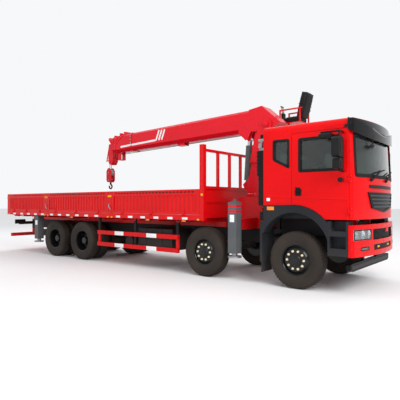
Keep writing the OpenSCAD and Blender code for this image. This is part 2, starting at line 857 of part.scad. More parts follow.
// Bumper with lamp pockets, and the under-run bar hung from the frame behind it.
module front_bumper() {
    back = door_front - 15;
    low = 660;
    high = 1210;
    t = 70;
    grow = bumper_front - cab_front_x;
    rails = bumper_front - 260;
    color(paint) {
        difference() {
            intersection() {
                nose_plan(grow, back, low, high);
                block(back, bumper_front, -cab_y, cab_y, low, high);
            }
            nose_plan(grow - t, back - 1, low - 1, high + 1);
            both() {
                nose_skin(pane_at(640, cab_y - 25, 945, 1130), grow - 40, grow + 1, low, high);
                nose_skin(pane_at(720, 1000, 760, 830), grow - 20, grow + 1, low, high);
            }
            nose_skin(pane_at(-577, 577, 935, 1125), grow - 40, grow + 1, low, high);
            nose_skin(pane_at(-540, 540, 750, 850), grow - 30, grow + 1, low, high);
        }
        both()
            block(rails, bumper_front - t, rail_in, rail_out, 850, 930);
    }
    color(trim) {
        end([[-1150, 430], [-1060, 400], [1060, 400], [1150, 430], [1150, 520], [1060, 540], [-1060, 540], [-1150, 520]],
            rails - 60, rails + 20);
        both()
            block(rails - 50, rails, rail_in + 5, rail_out - 5, 539, frame_low);
    }
}

// Head and fog lamps in the bumper and the marker lamps on the roof.
module headlamps() {
    grow = bumper_front - cab_front_x;
    color(lamp)
        both() {
            nose_skin(pane_at(642, cab_y - 27, 947, 1128), grow - 40, grow - 6, 700, 1200);
            nose_skin(pane_at(722, 998, 762, 828), grow - 20, grow - 4, 700, 1200);
            bar_z(cab_front_x - 330, 700, 80, cab_top, cab_top + 40);
        }
}

// Wheel arches with flares, two-tread steps ahead of them and guards with mud flaps behind.
module fenders() {
    guard_x = cab_back - 30;
    in = cab_y - 254;
    out = cab_y + 15;
    step_x = axle_1 + 632;
    step_end = door_front - 20;
    color(dark)
        both() {
            intersection() {
                difference() {
                    bar_y(arch_x, arch_z, 2 * flare_r, in, out);
                    bar_y(arch_x, arch_z, 2 * arch_r, in - 1, out + 1);
                }
                block(guard_x + 10, arch_x + flare_r, in - 1, out + 1, 1010, arch_z + flare_r + 1);
            }
            block(guard_x - 40, guard_x + 10, in - 200, out, 450, 1225);
            block(guard_x - 20, guard_x - 8, in - 150, out - 20, 250, 450);
            block(guard_x - 40, guard_x, rail_out, in - 200, 880, 960);
            difference() {
                block(step_x, step_end, in, out, 670, 1270);
                block(step_x + 60, step_end - 30, in + 120, out + 1, 1100, 1271);
                block(step_x + 40, step_end - 30, in + 120, out + 1, 800, 1010);
            }
            block(step_x + 60, step_x + 120, rail_out, in, 850, 930);
        }
}

// Two seats, the dashboard and the steering wheel on its column.
module cab_interior() {
    floor_z = cab_bottom + wall_t;
    dash_x = cab_front_x - wall_t - 420;
    color(trim) {
        both() {
            block(axle_1 - 250, axle_1 + 300, cab_y - 840, cab_y - 320, floor_z, floor_z + 330);
            side([[axle_1 - 260, floor_z + 330], [axle_1 - 110, floor_z + 330], [axle_1 - 230, floor_z + 1080],
                [axle_1 - 340, floor_z + 1080]], cab_y - 830, cab_y - 330);
        }
        intersection() {
            cab_solid(wall_t + 1);
            side([[dash_x, floor_z + 620], [dash_x + 80, floor_z + 400], [dash_x + 420, floor_z + 300],
                [dash_x + 420, floor_z + 655], [dash_x + 150, floor_z + 700]], -cab_y + 90, cab_y - 90);
        }
        block(dash_x + 180, dash_x + 260, -200, 200, floor_z, floor_z + 380);
        translate([dash_x + 20, cab_y - 580, floor_z + 640])
            rotate([0, -35, 0]) {
                rotate_extrude()
                    translate([225, 0])
                        circle(d = 34);
                cylinder(d = 60, h = 330, center = true);
                for (a = [90, 210, 330])
                    rotate([0, 0, a])
                        block(0, 222, -20, 20, -10, 8);
            }
    }
}

// Air-intake stack and the exhaust upright behind the cab.
module air_intake() {
    x = cab_back - 110;
    color(trim) {
        bar_z(x, -900, 170, 1420, cab_top - 300);
        block(x - 80, x + 80, -1010, -790, cab_top - 300, cab_top - 100);
        block(x - 90, x + 90, -1020, -760, 1240, 1420);
        bar_z(x, 900, 150, 1300, cab_top - 460);
        both() {
            block(x - 40, x + 40, rail_in + 5, rail_out - 5, frame_top, 1300);
            block(x - 40, x + 40, rail_in + 5, 940, 1240, 1301);
        }
    }
}

// Crane base on the frame, with the cross boxes that carry the front beams and the rear jacks.
module crane_base() {
    box_y = side_y - jack_w - 20;
    wall = 10;
    box_x0 = jack_x - beam_w - wall * 1.5 - move_gap * 2;
    box_x1 = jack_x + beam_w + wall * 1.5 + move_gap * 2;
    foot_back = slew_x - 480;
    foot_front = slew_x + 340;
    color(paint) {
        difference() {
            union() {
                both()
                    block(foot_back, foot_front, rail_in, rail_out, frame_top, beam_z + beam_h + 40);
                block(box_x0, box_x1, -box_y, box_y, frame_top, beam_z + beam_h + move_gap + wall);
                side([[foot_back, beam_z + beam_h], [foot_front, beam_z + beam_h], [foot_front, base_top - 180],
                    [slew_x + 300, base_top], [slew_x - 330, base_top], [foot_back, base_top - 250]], -rail_out, rail_out);
            }
            bar_z(slew_x, 0, spigot_d, base_top - 80, base_top + 1);
            block(jack_x - wall / 2 - beam_w - 2 * move_gap, jack_x - wall / 2, -box_y - 1, box_y + 1,
                beam_z - move_gap, beam_z + beam_h + move_gap);
            block(jack_x + wall / 2, jack_x + wall / 2 + beam_w + 2 * move_gap, -box_y - 1, box_y + 1,
                beam_z - move_gap, beam_z + beam_h + move_gap);
        }
        both()
            for (x = [jack_x - wall / 2 - beam_w - 2 * move_gap, jack_x + wall / 2])
                block(x + 10, x + beam_w, box_y - 80, box_y, beam_z - move_gap - 1, beam_z - fit);
        difference() {
            union() {
                block(rear_jack_x - 100, rear_jack_x + 100, -tyre_out + jack_w, tyre_out - jack_w,
                    frame_low - 200, frame_low);
                both()
                    block(rear_jack_x - 100, rear_jack_x + 100, tyre_out - jack_w, tyre_out, 470, sill_bottom - 20);
            }
            both()
                bar_z(rear_jack_x, tyre_out - jack_w / 2, jack_rod_d + 2, 400, 1100);
        }
    }
}

// A steering knuckle on the left: kingpin, two ears, a plate and the wheel spindle.
module knuckle(x) {
    ear = 112;
    color(dark) {
        bar_z(x, kingpin_y, kingpin_d - 2 * fit, axle_z - ear, axle_z + ear);
        for (z = [axle_z - ear, axle_z + 78])
            block(x - 50, x + 50, kingpin_y - 50, kingpin_y + 110, z, z + ear - 78);
        block(x - 60, x + 60, kingpin_y + 62, kingpin_y + 110, axle_z - ear, axle_z + ear);
        bar_y(x, axle_z, spindle_d - 2 * fit, kingpin_y + 100, tyre_mid + 92);
    }
}

// One tyre about its own axis, its middle plane at w.
module tyre(w) {
    r = tyre_d / 2;
    h = tyre_w / 2;
    bead = rim_d / 2 + fit;
    translate([0, 0, w])
        rotate_extrude()
            polygon([[bead, -h + 32], [bead + 16, -h + 12], [r - 105, -h], [r - 34, -h + 8], [r, -h + 34],
                [r, h - 34], [r - 34, h - 8], [r - 105, h], [bead + 16, h - 12], [bead, h - 32]]);
}

// Wheel nuts on a circle, standing on the disc at w.
module nuts(w) {
    for (k = [0 : nut_count - 1])
        rotate([0, 0, 360 * k / nut_count])
            translate([168, 0, w - 2])
                cylinder(d = 38, h = 26, $fn = 6);
}

// A single front wheel: tyre, rim, domed disc and hub.
module single_wheel() {
    rim = rim_d / 2;
    bore = spindle_d / 2;
    color(tyre_colour)
        tyre(0);
    color(trim) {
        rotate_extrude()
            polygon([[rim - 20, -105], [rim, -105], [rim, 105], [rim - 20, 105]]);
        rotate_extrude()
            polygon([[bore, -50], [120, -50], [120, 85], [205, 85], [rim - 21, 45], [rim - 12, 45], [rim - 12, 65],
                [215, 105], [115, 105], [100, 130], [0, 130], [0, 100], [bore, 100]]);
        nuts(105);
    }
}

// A twin rear wheel: two tyres on one long rim with a deep disc and the brake drum inside.
module twin_wheel() {
    rim = rim_d / 2;
    bore = spindle_d / 2;
    inner = twin_mid - tyre_mid;
    mid = inner / 2;
    color(tyre_colour) {
        tyre(0);
        tyre(inner);
    }
    color(trim) {
        rotate_extrude()
            polygon([[rim - 20, inner - 105], [rim, inner - 105], [rim, 105], [rim - 20, 105]]);
        rotate_extrude()
            polygon([[bore, mid - 120], [120, mid - 120], [120, mid - 22], [185, mid - 22], [185, inner - 80],
                [210, inner - 80], [210, mid - 22], [rim - 12, mid - 22], [rim - 12, mid], [130, mid],
                [120, mid + 110], [95, mid + 205], [0, mid + 205], [0, mid + 160], [bore, mid + 160]]);
        nuts(mid);
    }
}

// Puts a wheel drawn about its own axis on the left end of the axle at x.
module on_axle(x) {
    translate([x, tyre_mid, axle_z])
        rotate([-90, 0, 0])
            children();
}

// Slewing column: ring, hollow post, the fork for the boom and the foot of the luff cylinder.
module column() {
    low = base_top + 60;
    top = pivot_z - 380;
    wide = 190;
    back = slew_x - 290;
    front = slew_x + 290;
    t = 22;
    color(paint) {
        bar_z(slew_x, 0, 720, base_top + move_gap, low + 1);
        bar_z(slew_x, 0, spigot_d - 2 * fit, base_top - 70, low + 1);
        difference() {
            side([[back, low], [front, low], [front + 10, top], [slew_x - 100, top], [slew_x - 225, luff_foot_z + 200],
                [slew_x - 290, luff_foot_z + 80]], -wide, wide);
            side([[back + t, low + t], [front - t, low + t], [front + 10 - t, top - t], [slew_x - 100 + t, top - t],
                [slew_x - 225 + t, luff_foot_z + 200], [slew_x - 290 + t, luff_foot_z + 80]], -wide + t, wide - t);
        }
        both() {
            side([[slew_x - 190, pivot_z - 830], [front, pivot_z - 830], [front + 60, pivot_z - 330],
                [pivot_x + 130, pivot_z], [pivot_x - 130, pivot_z], [slew_x - 60, pivot_z - 230]],
                fork_in, fork_in + fork_t);
            bar_y(pivot_x, pivot_z, 260, fork_in, fork_in + fork_t);
            block(slew_x - 150, front - 20, wide - 1, fork_in + 1, pivot_z - 810, pivot_z - 430);
            side([[back + 60, low + 40], [back + 60, luff_foot_z + 60], [luff_foot_x, luff_foot_z + 75],
                [luff_foot_x - 75, luff_foot_z], [luff_foot_x - 40, luff_foot_z - 80], [back, low + 40]], 58, 88);
        }
        bar_y(pivot_x, pivot_z, boom_pin_d, -fork_in - fork_t - 20, fork_in + fork_t + 20);
        bar_y(luff_foot_x, luff_foot_z, luff_pin_d, -100, 100);
    }
}

// The operator's seat beside the boom: arm, plate, guard rail, cushions and the lever stand.
module operator_seat() {
    y0 = 330;
    y1 = 810;
    z = pivot_z + 70;
    x0 = pivot_x + 20;
    x1 = x0 + 520;
    rail = 30;
    color(paint) {
        block(x0 + 60, x0 + 160, fork_in + fork_t, 560, z - 280, z - 200);
        block(x0 + 60, x0 + 160, 480, 560, z - 200, z);
        block(x0, x1, y0, y1, z, z + 20);
        for (y = [y0, y1 - rail])
            translate([0, y, 0]) {
                block(x0, x0 + rail, 0, rail, z + 20, z + 330);
                block(x1 - rail, x1, 0, rail, z + 20, z + 300);
                block(x0, x1, 0, rail, z + 300, z + 330);
            }
        block(x1, x1 + rail, y0, y1, z + 300, z + 330);
    }
    color(trim) {
        block(x0 + 110, x1 - 50, y0 + 50, y1 - 50, z + 20, z + 130);
        side([[x1 - 120, z + 130], [x1 - 10, z + 130], [x1 + 130, z + 650], [x1 + 20, z + 680]], y0 + 60, y1 - 60);
        block(x0 + 20, x0 + 60, y0 + 60, y0 + 200, z + 20, z + 260);
    }
}

// Cross-section of the boom, set in by d: a box with its edges cut off.
function boom_outline(d) = let (
        half = boom_w / 2 - d,
        low = d - boom_drop,
        top = boom_h - boom_drop - d,
        cut = boom_cut_low - 0.586 * d,
        crop = boom_cut_top - 0.586 * d)
    [[cut - half, low], [half - cut, low], [half, low + cut], [half, top - crop],
        [half - crop, top], [crop - half, top], [-half, top - crop], [-half, low + cut]];

// Puts pieces drawn about the boom pivot, along the boom, in place.
module on_boom() {
    translate([pivot_x, 0, pivot_z])
        rotate([0, -boom_tilt, 0])
            children();
}

// A hollow length of boom, set in by d, between two places along it.
module boom_tube(d, x0, x1) {
    difference() {
        end(boom_outline(d), x0, x1);
        end(boom_outline(d + boom_plate), x0 - 1, x1 + 1);
    }
}

// The leaning end of boom length k, from its lower edge up, moved by off along the boom.
function mouth(k, off) = let (
        low = off - boom_len - boom_rake - k * boom_step,
        high = off - boom_len + boom_rake - k * boom_step_top,
        top = boom_h - boom_drop)
    [[low, -boom_drop - 30], [low, boom_lip], [high, top], [high + (high - low) * 0.12, top + (top - boom_lip) * 0.12]];

// Boom length k: a hollow box cut to its leaning end, with a collar and a raised stop on that end.
module boom_length(k, root, stop) {
    d = k * (boom_plate + boom_play);
    far = -boom_len - 1000;
    band = 50;
    edge = mouth(k, 0);
    inner = mouth(k, band);
    top = boom_h - boom_drop - d;
    intersection() {
        boom_tube(d, far, root);
        side(concat(edge, [[root, boom_h], [root, -boom_h]]), -boom_w, boom_w);
    }
    intersection() {
        difference() {
            end(boom_outline(d - 14), far, root);
            end(boom_outline(d + boom_plate / 2), far - 1, root + 1);
        }
        side(concat(edge, [inner[3], inner[2], inner[1], inner[0]]), -boom_w, boom_w);
    }
    block(edge[2][0], edge[2][0] + band, -100, 100, top - 5, top + stop);
}

// Wear pad inside the mouth of boom length k, under the next one.
module boom_pad(k) {
    low = k * (boom_plate + boom_play) + boom_plate - boom_drop;
    x = mouth(k, 0)[0][0];
    block(x + 10, x + 90, -70, 70, low - 1, low + boom_play - fit);
}

// Boom base: root plates with the pivot bores, the long box, the knee for the luff cylinder and the rope guides.
module boom_base() {
    top = boom_h - boom_drop;
    half = boom_w / 2;
    t = 24;
    lip = mouth(0, 0)[0][0];
    hump = mouth(0, 0)[2][0];
    color(paint)
        on_boom()
            difference() {
                union() {
                    boom_length(0, -450, 20);
                    boom_pad(0);
                    difference() {
                        side([[-460, -boom_drop], [120, -boom_drop], [324, 10], [-120, top + 40], [-460, top]], -half, half);
                        side([[-461, -boom_drop + t], [100, -boom_drop + t], [280, 10], [-130, top + 10], [-461, top - t]],
                            -half + t, half - t);
                    }
                    both() {
                        side(knee(110, 150, 2), 60, 88);
                        side(knee(150, 190, boom_cut_low), half - boom_plate, half);
                        bar_y(-luff_lug_x, -luff_lug_z, luff_pin_d + 24, 88, 100);
                    }
                    side([[hump + 405, top - 2], [hump, top + 90], [hump - 50, top + 90], [hump - 10, top - 2]], -120, 120);
                    block(-440, -390, -12, 12, top - 5, top + 55);
                    rope_guide(-2740, -2500, 60);
                    rope_guide(lip + 10, lip + 150, 220);
                    difference() {
                        end(boom_outline(-14), -boom_len + 500, -boom_len + 560);
                        end(boom_outline(boom_plate / 2), -boom_len + 499, -boom_len + 561);
                    }
                }
                bar_y(0, 0, boom_pin_d + 2 * fit, -half - 1, half + 1);
            }
}

// Side outline of the knee below the boom that takes the rod of the luff cylinder.
function knee(ahead, behind, up) = [[-luff_lug_x + ahead, up - boom_drop], [-luff_lug_x + ahead, -boom_drop],
    [-luff_lug_x + 60, -luff_lug_z - 20], [-luff_lug_x, -luff_lug_z - 62], [-luff_lug_x - 62, -luff_lug_z],
    [-luff_lug_x - behind, -boom_drop], [-luff_lug_x - behind, up - boom_drop]];

// A strap below the boom that guides the rope, open along the boom.
module rope_guide(x0, x1, deep) {
    low = -boom_drop - deep;
    difference() {
        block(x0, x1, -90, 90, low, 2 - boom_drop);
        block(x0 - 1, x1 + 1, -72, 72, low + 18, -boom_drop);
    }
}

// A telescopic section, its collar at the outer end.
module boom_section(k, stop) {
    color(paint) {
        boom_length(k, -520 - 60 * k, stop);
        if (k < 3)
            boom_pad(k);
    }
}

// The last section's hanging head with its rope sheave and the rope guard ahead of it.
module boom_head() {
    x = head_x;
    color(paint) {
        both() {
            side([[x + 40, -20], [x + 40, 60], [x - 120, 200], [x - 215, 190], [x - 230, 0], [x - 250, sheave_z],
                [x - 200, sheave_z - 90], [x - 110, sheave_z - 100], [x - 40, sheave_z - 10], [x - 20, -20]], 78, 100);
            side([[x - 205, 190], [x - 228, 195], [x - 372, sheave_z + 8], [x - 350, sheave_z]], 60, 80);
            for (z = [120, -200])
                side([[x - 180, z], [x - 180, z - 24], [x - 255 + z * 0.28, z - 24], [x - 255 + z * 0.28, z]], 70, 90);
        }
        for (s = [0.1, 0.37, 0.64, 0.92])
            bar_y(x - 217 - 144 * s, 190 - (190 - sheave_z) * s, 22, -62, 62);
        block(x + 6, x + 24, -145, 145, -20, 190);
        bar_y(x - sheave_out, sheave_z, 50, -112, 112);
    }
    color(steel)
        bar_y(x - sheave_out, sheave_z, 2 * sheave_r, -62, 62);
}

// Second, third and last boom sections.
module boom_2() {
    on_boom()
        boom_section(1, 95);
}

module boom_3() {
    on_boom()
        boom_section(2, 70);
}

module boom_4() {
    on_boom() {
        boom_section(3, 45);
        boom_head();
    }
}

// Puts pieces drawn along the luff cylinder, from its foot pin upwards, in place.
module on_luff() {
    translate([luff_foot_x, 0, luff_foot_z])
        rotate([0, luff_lean, 0])
            children();
}

// Luff cylinder barrel with its foot eye.
module luff_barrel() {
    color(steel)
        on_luff()
            difference() {
                union() {
                    bar_y(0, 0, 130, -52, 52);
                    cylinder(d = 100, h = 120);
                    translate([0, 0, 100])
                        cylinder(d = luff_barrel_d, h = luff_len - 260);
                }
                bar_y(0, 0, luff_pin_d + 2 * fit, -60, 60);
                translate([0, 0, 110])
                    cylinder(d = luff_rod_d + 2 * fit, h = luff_len);
            }
}

// Luff cylinder rod with its head eye.
module luff_rod() {
    color(steel)
        on_luff()
            difference() {
                union() {
                    translate([0, 0, 125])
                        cylinder(d = luff_rod_d, h = luff_len - 150);
                    bar_y(0, luff_len, 110, -54, 54);
                }
                bar_y(0, luff_len, luff_pin_d, -60, 60);
            }
}

// Hook block below the boom head: cheeks, sheave and the hook.
module hook_block() {
    head = [pivot_x + (head_x - sheave_out) * cos(boom_tilt) - sheave_z * sin(boom_tilt),
        pivot_z + (head_x - sheave_out) * sin(boom_tilt) + sheave_z * cos(boom_tilt)];
    x = head[0] - sheave_r - rope_d / 2 - fit;
    top = head[1] - 197;
    low = top - 430;
    ring = 62;
    color(paint) {
        both()
            side([[x - 110, low + 60], [x - 60, low], [x + 60, low], [x + 110, low + 60], [x + 110, top - 90],
                [x + 40, top], [x - 40, top], [x - 110, top - 90]], 52, 76);
        bar_y(x, low + 60, 70, -52, 52);
    }
    color(steel) {
        bar_y(x, top - 150, 210, -52, 52);
        for (y = [-30, 30])
            bar_z(x, y, rope_d, top - 150, head[1]);
    }
    color(trim) {
        bar_z(x, 0, 56, low - 70, low + 40);
        translate([x, 0, low - 70 - ring])
            rotate([90, 0, 0])
                rotate([0, 0, -205])
                    rotate_extrude(angle = 295)
                        translate([ring, 0])
                            circle(d = 42);
    }
}

// A front outrigger beam on the left with its jack tube; ch picks its channel in the cross box.
module beam(ch) {
    x0 = ch > 0 ? jack_x + 5 + move_gap : jack_x - 5 - move_gap - beam_w;
    out = side_y;
    color(steel)
        difference() {
            union() {
                block(x0, x0 + beam_w, -out + jack_w + 140, out - jack_w + 1, beam_z, beam_z + beam_h);
                block(jack_x - jack_w / 2, jack_x + jack_w / 2, out - jack_w, out, jack_bottom, jack_top);
            }
            bar_z(jack_x, out - jack_w / 2, jack_rod_d + 2 * fit, jack_bottom - 1, jack_top - 60);
        }
}

// A jack leg at x and y: rod and foot, the foot lifted off the ground.
module jack(x, y, lift, top) {
    color(steel) {
        bar_z(x, y, jack_rod_d, lift + 30, top);
        bar_z(x, y, jack_foot_d, lift, lift + 36);
    }
}

module knuckle_1r() mirror([0, 1, 0]) knuckle(axle_1);
module knuckle_1l() knuckle(axle_1);
module knuckle_2r() mirror([0, 1, 0]) knuckle(axle_2);
module knuckle_2l() knuckle(axle_2);
module wheel_1r() mirror([0, 1, 0]) on_axle(axle_1) single_wheel();
module wheel_1l() on_axle(axle_1) single_wheel();
module wheel_2r() mirror([0, 1, 0]) on_axle(axle_2) single_wheel();
module wheel_2l() on_axle(axle_2) single_wheel();
module wheel_3r() mirror([0, 1, 0]) on_axle(axle_3) twin_wheel();
module wheel_3l() on_axle(axle_3) twin_wheel();
module wheel_4r() mirror([0, 1, 0]) on_axle(axle_4) twin_wheel();
module wheel_4l() on_axle(axle_4) twin_wheel();
module door_r() mirror([0, 1, 0]) door_panel();
module door_l() door_panel();
module door_glass_r() mirror([0, 1, 0]) door_glass_l();
module door_glass_l() color(pane) door_window(cab_y - 30, cab_y - 22);
module mirror_r() mirror([0, 1, 0]) mirror_set();
module mirror_l() mirror_set();
module beam_r() mirror([0, 1, 0]) beam(-1);
module beam_l() beam(1);
module jack_fr() jack(jack_x, -side_y + jack_w / 2, jack_lift, jack_top - 100);
module jack_fl() jack(jack_x, side_y - jack_w / 2, jack_lift, jack_top - 100);
module jack_rr() jack(rear_jack_x, -tyre_out + jack_w / 2, rear_jack_lift, 1060);
module jack_rl() jack(rear_jack_x, tyre_out - jack_w / 2, rear_jack_lift, 1060);
module gate_r1() mirror([0, 1, 0]) side_gate(0);
module gate_r2() mirror([0, 1, 0]) side_gate(1);
module gate_r3() mirror([0, 1, 0]) side_gate(2);
module gate_l1() side_gate(0);
module gate_l2() side_gate(1);
module gate_l3() side_gate(2);

frame();
axles();
driveline();
tanks();
side_guards();
rear_bumper();
bed_frame();
headboard();
cab_body();
cab_roof();
cab_front();
cab_glass();
visor();
grille();
front_bumper();
headlamps();
fenders();
cab_interior();
air_intake();
crane_base();
knuckle_1r();
knuckle_1l();
knuckle_2r();
knuckle_2l();
wheel_1r();
wheel_1l();
wheel_2r();
wheel_2l();
wheel_3r();
wheel_3l();
wheel_4r();
wheel_4l();
door_r();
door_l();
door_glass_r();
door_glass_l();
mirror_r();
mirror_l();
column();
operator_seat();
boom_base();
boom_2();
boom_3();
boom_4();
luff_barrel();
luff_rod();
hook_block();
beam_r();
beam_l();
jack_fr();
jack_fl();
jack_rr();
jack_rl();
gate_r1();
gate_r2();
gate_r3();
gate_l1();
gate_l2();
gate_l3();
tailgate();
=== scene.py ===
import math

import bmesh
import bpy
import numpy as np
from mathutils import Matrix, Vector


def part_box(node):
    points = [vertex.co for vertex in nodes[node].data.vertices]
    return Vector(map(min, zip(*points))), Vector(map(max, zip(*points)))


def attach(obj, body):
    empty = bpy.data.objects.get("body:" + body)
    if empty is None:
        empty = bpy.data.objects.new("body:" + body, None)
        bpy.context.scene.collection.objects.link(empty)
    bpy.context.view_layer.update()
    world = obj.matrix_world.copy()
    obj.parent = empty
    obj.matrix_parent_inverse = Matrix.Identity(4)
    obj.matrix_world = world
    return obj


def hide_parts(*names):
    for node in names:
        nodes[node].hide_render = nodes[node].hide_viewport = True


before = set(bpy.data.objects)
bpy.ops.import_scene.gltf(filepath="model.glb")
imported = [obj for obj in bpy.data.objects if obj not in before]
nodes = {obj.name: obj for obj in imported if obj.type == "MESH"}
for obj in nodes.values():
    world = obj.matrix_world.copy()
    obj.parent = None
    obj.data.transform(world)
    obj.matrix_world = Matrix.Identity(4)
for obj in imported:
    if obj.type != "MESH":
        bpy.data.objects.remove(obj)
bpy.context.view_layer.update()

# Studio. A seamless pale floor under soft light from all round, with one broad lamp ahead and above,
# and a camera at head height off the truck's right front corner. None of it belongs to the truck.
EYE = (8.216, -8.35, 1.581)
EYE_TURN = 38.797
EYE_RISE = 0.47
FOCAL_PX, FRAME_PX = 421.146, 400.0


def linear(code):
    """sRGB hex to linear colour: c / 12.92 in the dark toe, ((c + 0.055) / 1.055) ^ 2.4 above it."""
    c = np.array([int(code[k:k + 2], 16) for k in (0, 2, 4)]) / 255.0
    c = np.where(c <= 0.04045, c / 12.92, ((c + 0.055) / 1.055) ** 2.4)
    return (*(float(v) for v in c), 1.0)


def add(tree, kind, feeds=(), **settings):
    """Adds one node. Feeds are pairs of an input and a socket or a value, settings are its own options."""
    made = tree.nodes.new(kind)
    for key, value in settings.items():
        setattr(made, key, value)
    for key, value in dict(feeds).items():
        if isinstance(value, bpy.types.NodeSocket):
            tree.links.new(value, made.inputs[key])
        else:
            made.inputs[key].default_value = value
    return made


camera = bpy.data.objects.new("camera", bpy.data.cameras.new("camera"))
camera.location = EYE
camera.rotation_euler = (math.radians(90.0 + EYE_RISE), 0.0, math.radians(EYE_TURN))
camera.data.sensor_width = 36.0
camera.data.lens = 36.0 * FOCAL_PX / FRAME_PX
camera.data.clip_end = 400.0
bpy.context.collection.objects.link(camera)
bpy.context.scene.camera = camera
bpy.context.scene.view_settings.view_transform = "Standard"

world = bpy.data.worlds.new("studio_dome")
world.use_nodes = True
bpy.context.scene.world = world
sky = world.node_tree
sky.nodes.clear()
ahead = add(sky, "ShaderNodeSeparateXYZ", {"Vector": add(sky, "ShaderNodeTexCoord").outputs["Generated"]})
shade = add(sky, "ShaderNodeMapRange", {"Value": ahead.outputs["X"], "From Min": 0.15, "From Max": 0.6,
                                        "To Min": 0.98, "To Max": 0.45})
dome = add(sky, "ShaderNodeBackground", {"Color": linear("F9FAFC"), "Strength": shade.outputs[0]})
add(sky, "ShaderNodeOutputWorld", {"Surface": dome.outputs[0]})

for lamp_name, place, size, watts in (
        ("lamp_ahead", (14.0, -6.5, 9.0), 8.0, 1500.0),
        ("lamp_behind", (-9.0, 9.0, 11.0), 10.0, 600.0)):
    lamp = bpy.data.lights.new(lamp_name, "AREA")
    lamp.size = size
    lamp.energy = watts
    stand = bpy.data.objects.new(lamp_name, lamp)
    stand.location = place
    aim = np.array([0.0, 0.0, 1.2]) - np.array(place)
    stand.rotation_euler = (math.atan2(math.hypot(aim[0], aim[1]), -aim[2]), 0.0,
                            math.atan2(-aim[0], aim[1]))
    bpy.context.collection.objects.link(stand)

# Matt painted studio floor: near white, with a faint cloudiness a few hand-widths across.
floor_paint = bpy.data.materials.new("matt_floor_paint")
floor_paint.use_nodes = True
tree = floor_paint.node_tree
tree.nodes.clear()
place = add(tree, "ShaderNodeTexCoord")
cloud = add(tree, "ShaderNodeTexNoise", {"Vector": place.outputs["Object"], "Scale": 0.35, "Detail": 2.0})
tone = add(tree, "ShaderNodeValToRGB", {"Fac": cloud.outputs["Fac"]})
tone.color_ramp.elements[0].color = linear("F1F1F1")
tone.color_ramp.elements[1].color = linear("F8F8F8")
coat = add(tree, "ShaderNodeBsdfPrincipled", {"Base Color": tone.outputs["Color"], "Roughness": 0.9})
add(tree, "ShaderNodeOutputMaterial", {"Surface": coat.outputs[0]})
floor_half, floor_steps = 120.0, 25
run = np.linspace(-floor_half, floor_half, floor_steps)
floor_points = np.stack(np.meshgrid(run, run, [-0.001], indexing="ij"), -1).reshape(-1, 3)
corner = (np.arange(floor_steps - 1)[:, None] * floor_steps + np.arange(floor_steps - 1)).reshape(-1, 1)
floor_mesh = bpy.data.meshes.new("floor")
floor_mesh.from_pydata(floor_points.tolist(), [],
                       (corner + np.array([0, floor_steps, floor_steps + 1, 1])).tolist())
floor_mesh.materials.append(floor_paint)
floor = bpy.data.objects.new("floor", floor_mesh)
bpy.context.collection.objects.link(floor)

# Chassis: pressed-steel rails, axles, springs, engine, shafts and tanks, all under one coat of satin
# dark grey paint. Road dust dulls it and gathers towards the ground.


def finish(name, low, high, grain_mm, rough, bump=0.1, dust=None, zones=(), **sockets):
    """A finish in Object coordinates: two close tones clouded by a noise of grain_mm and a fine one for bump
    and roughness. Dust is a colour, an amount and the height in metres where it ends. A zone is a colour, a
    roughness and a box of (low, high) along X, |Y| and Z, None where open. Sockets are shader constants."""
    made = bpy.data.materials.new(name)
    made.use_nodes = True
    net = made.node_tree
    net.nodes.clear()
    where = add(net, "ShaderNodeTexCoord").outputs["Object"]
    broad = add(net, "ShaderNodeTexNoise", {"Vector": where, "Scale": 1.1, "Detail": 4.0})
    fine = add(net, "ShaderNodeTexNoise", {"Vector": where, "Scale": 1000.0 / grain_mm, "Detail": 3.0})
    ramp = add(net, "ShaderNodeValToRGB", {"Fac": broad.outputs["Fac"]})
    ramp.color_ramp.elements[0].position, ramp.color_ramp.elements[1].position = 0.3, 0.7
    ramp.color_ramp.elements[0].color = linear(low)
    ramp.color_ramp.elements[1].color = linear(high)
    colour = ramp.outputs["Color"]
    shine = add(net, "ShaderNodeMapRange", {"Value": fine.outputs["Fac"], "From Min": 0.3, "From Max": 0.7,
                                            "To Min": rough * 0.85, "To Max": rough * 1.15}).outputs[0]
    parts = add(net, "ShaderNodeSeparateXYZ", {"Vector": where})
    across = add(net, "ShaderNodeMath", {0: parts.outputs["Y"]}, operation="ABSOLUTE")
    for paint, gloss, box in zones:
        inside = None
        for socket, limits in zip((parts.outputs["X"], across.outputs[0], parts.outputs["Z"]), box):
            if limits:
                test = add(net, "ShaderNodeMath", {0: socket, 1: sum(limits) / 2, 2: (limits[1] - limits[0]) / 2},
                           operation="COMPARE").outputs[0]
                inside = test if inside is None else add(net, "ShaderNodeMath", {0: inside, 1: test},
                                                         operation="MULTIPLY").outputs[0]
        colour = add(net, "ShaderNodeMix", {0: inside, 6: colour, 7: linear(paint)}, data_type="RGBA").outputs[2]
        shine = add(net, "ShaderNodeMix", {0: inside, 2: shine, 3: gloss}).outputs[0]
    if dust:
        grey, amount, height = dust
        fade = add(net, "ShaderNodeMapRange", {"Value": parts.outputs["Z"], "From Min": 0.25 * height,
                                               "From Max": height, "To Min": amount, "To Max": 0.0})
        cover = add(net, "ShaderNodeMath", {0: fade.outputs[0], 1: broad.outputs["Fac"]}, operation="MULTIPLY")
        colour = add(net, "ShaderNodeMix", {0: cover.outputs[0], 6: colour, 7: linear(grey)},
                     data_type="RGBA").outputs[2]
        shine = add(net, "ShaderNodeMath", {0: shine, 1: cover.outputs[0]}, operation="ADD",
                    use_clamp=True).outputs[0]
    relief = add(net, "ShaderNodeBump", {"Height": fine.outputs["Fac"], "Strength": bump, "Distance": 0.002})
    feeds = {"Base Color": colour, "Roughness": shine, "Specular IOR Level": 0.18, "Normal": relief.outputs[0]}
    coated = add(net, "ShaderNodeBsdfPrincipled", {**feeds, **sockets})
    add(net, "ShaderNodeOutputMaterial", {"Surface": coated.outputs[0]})
    return made


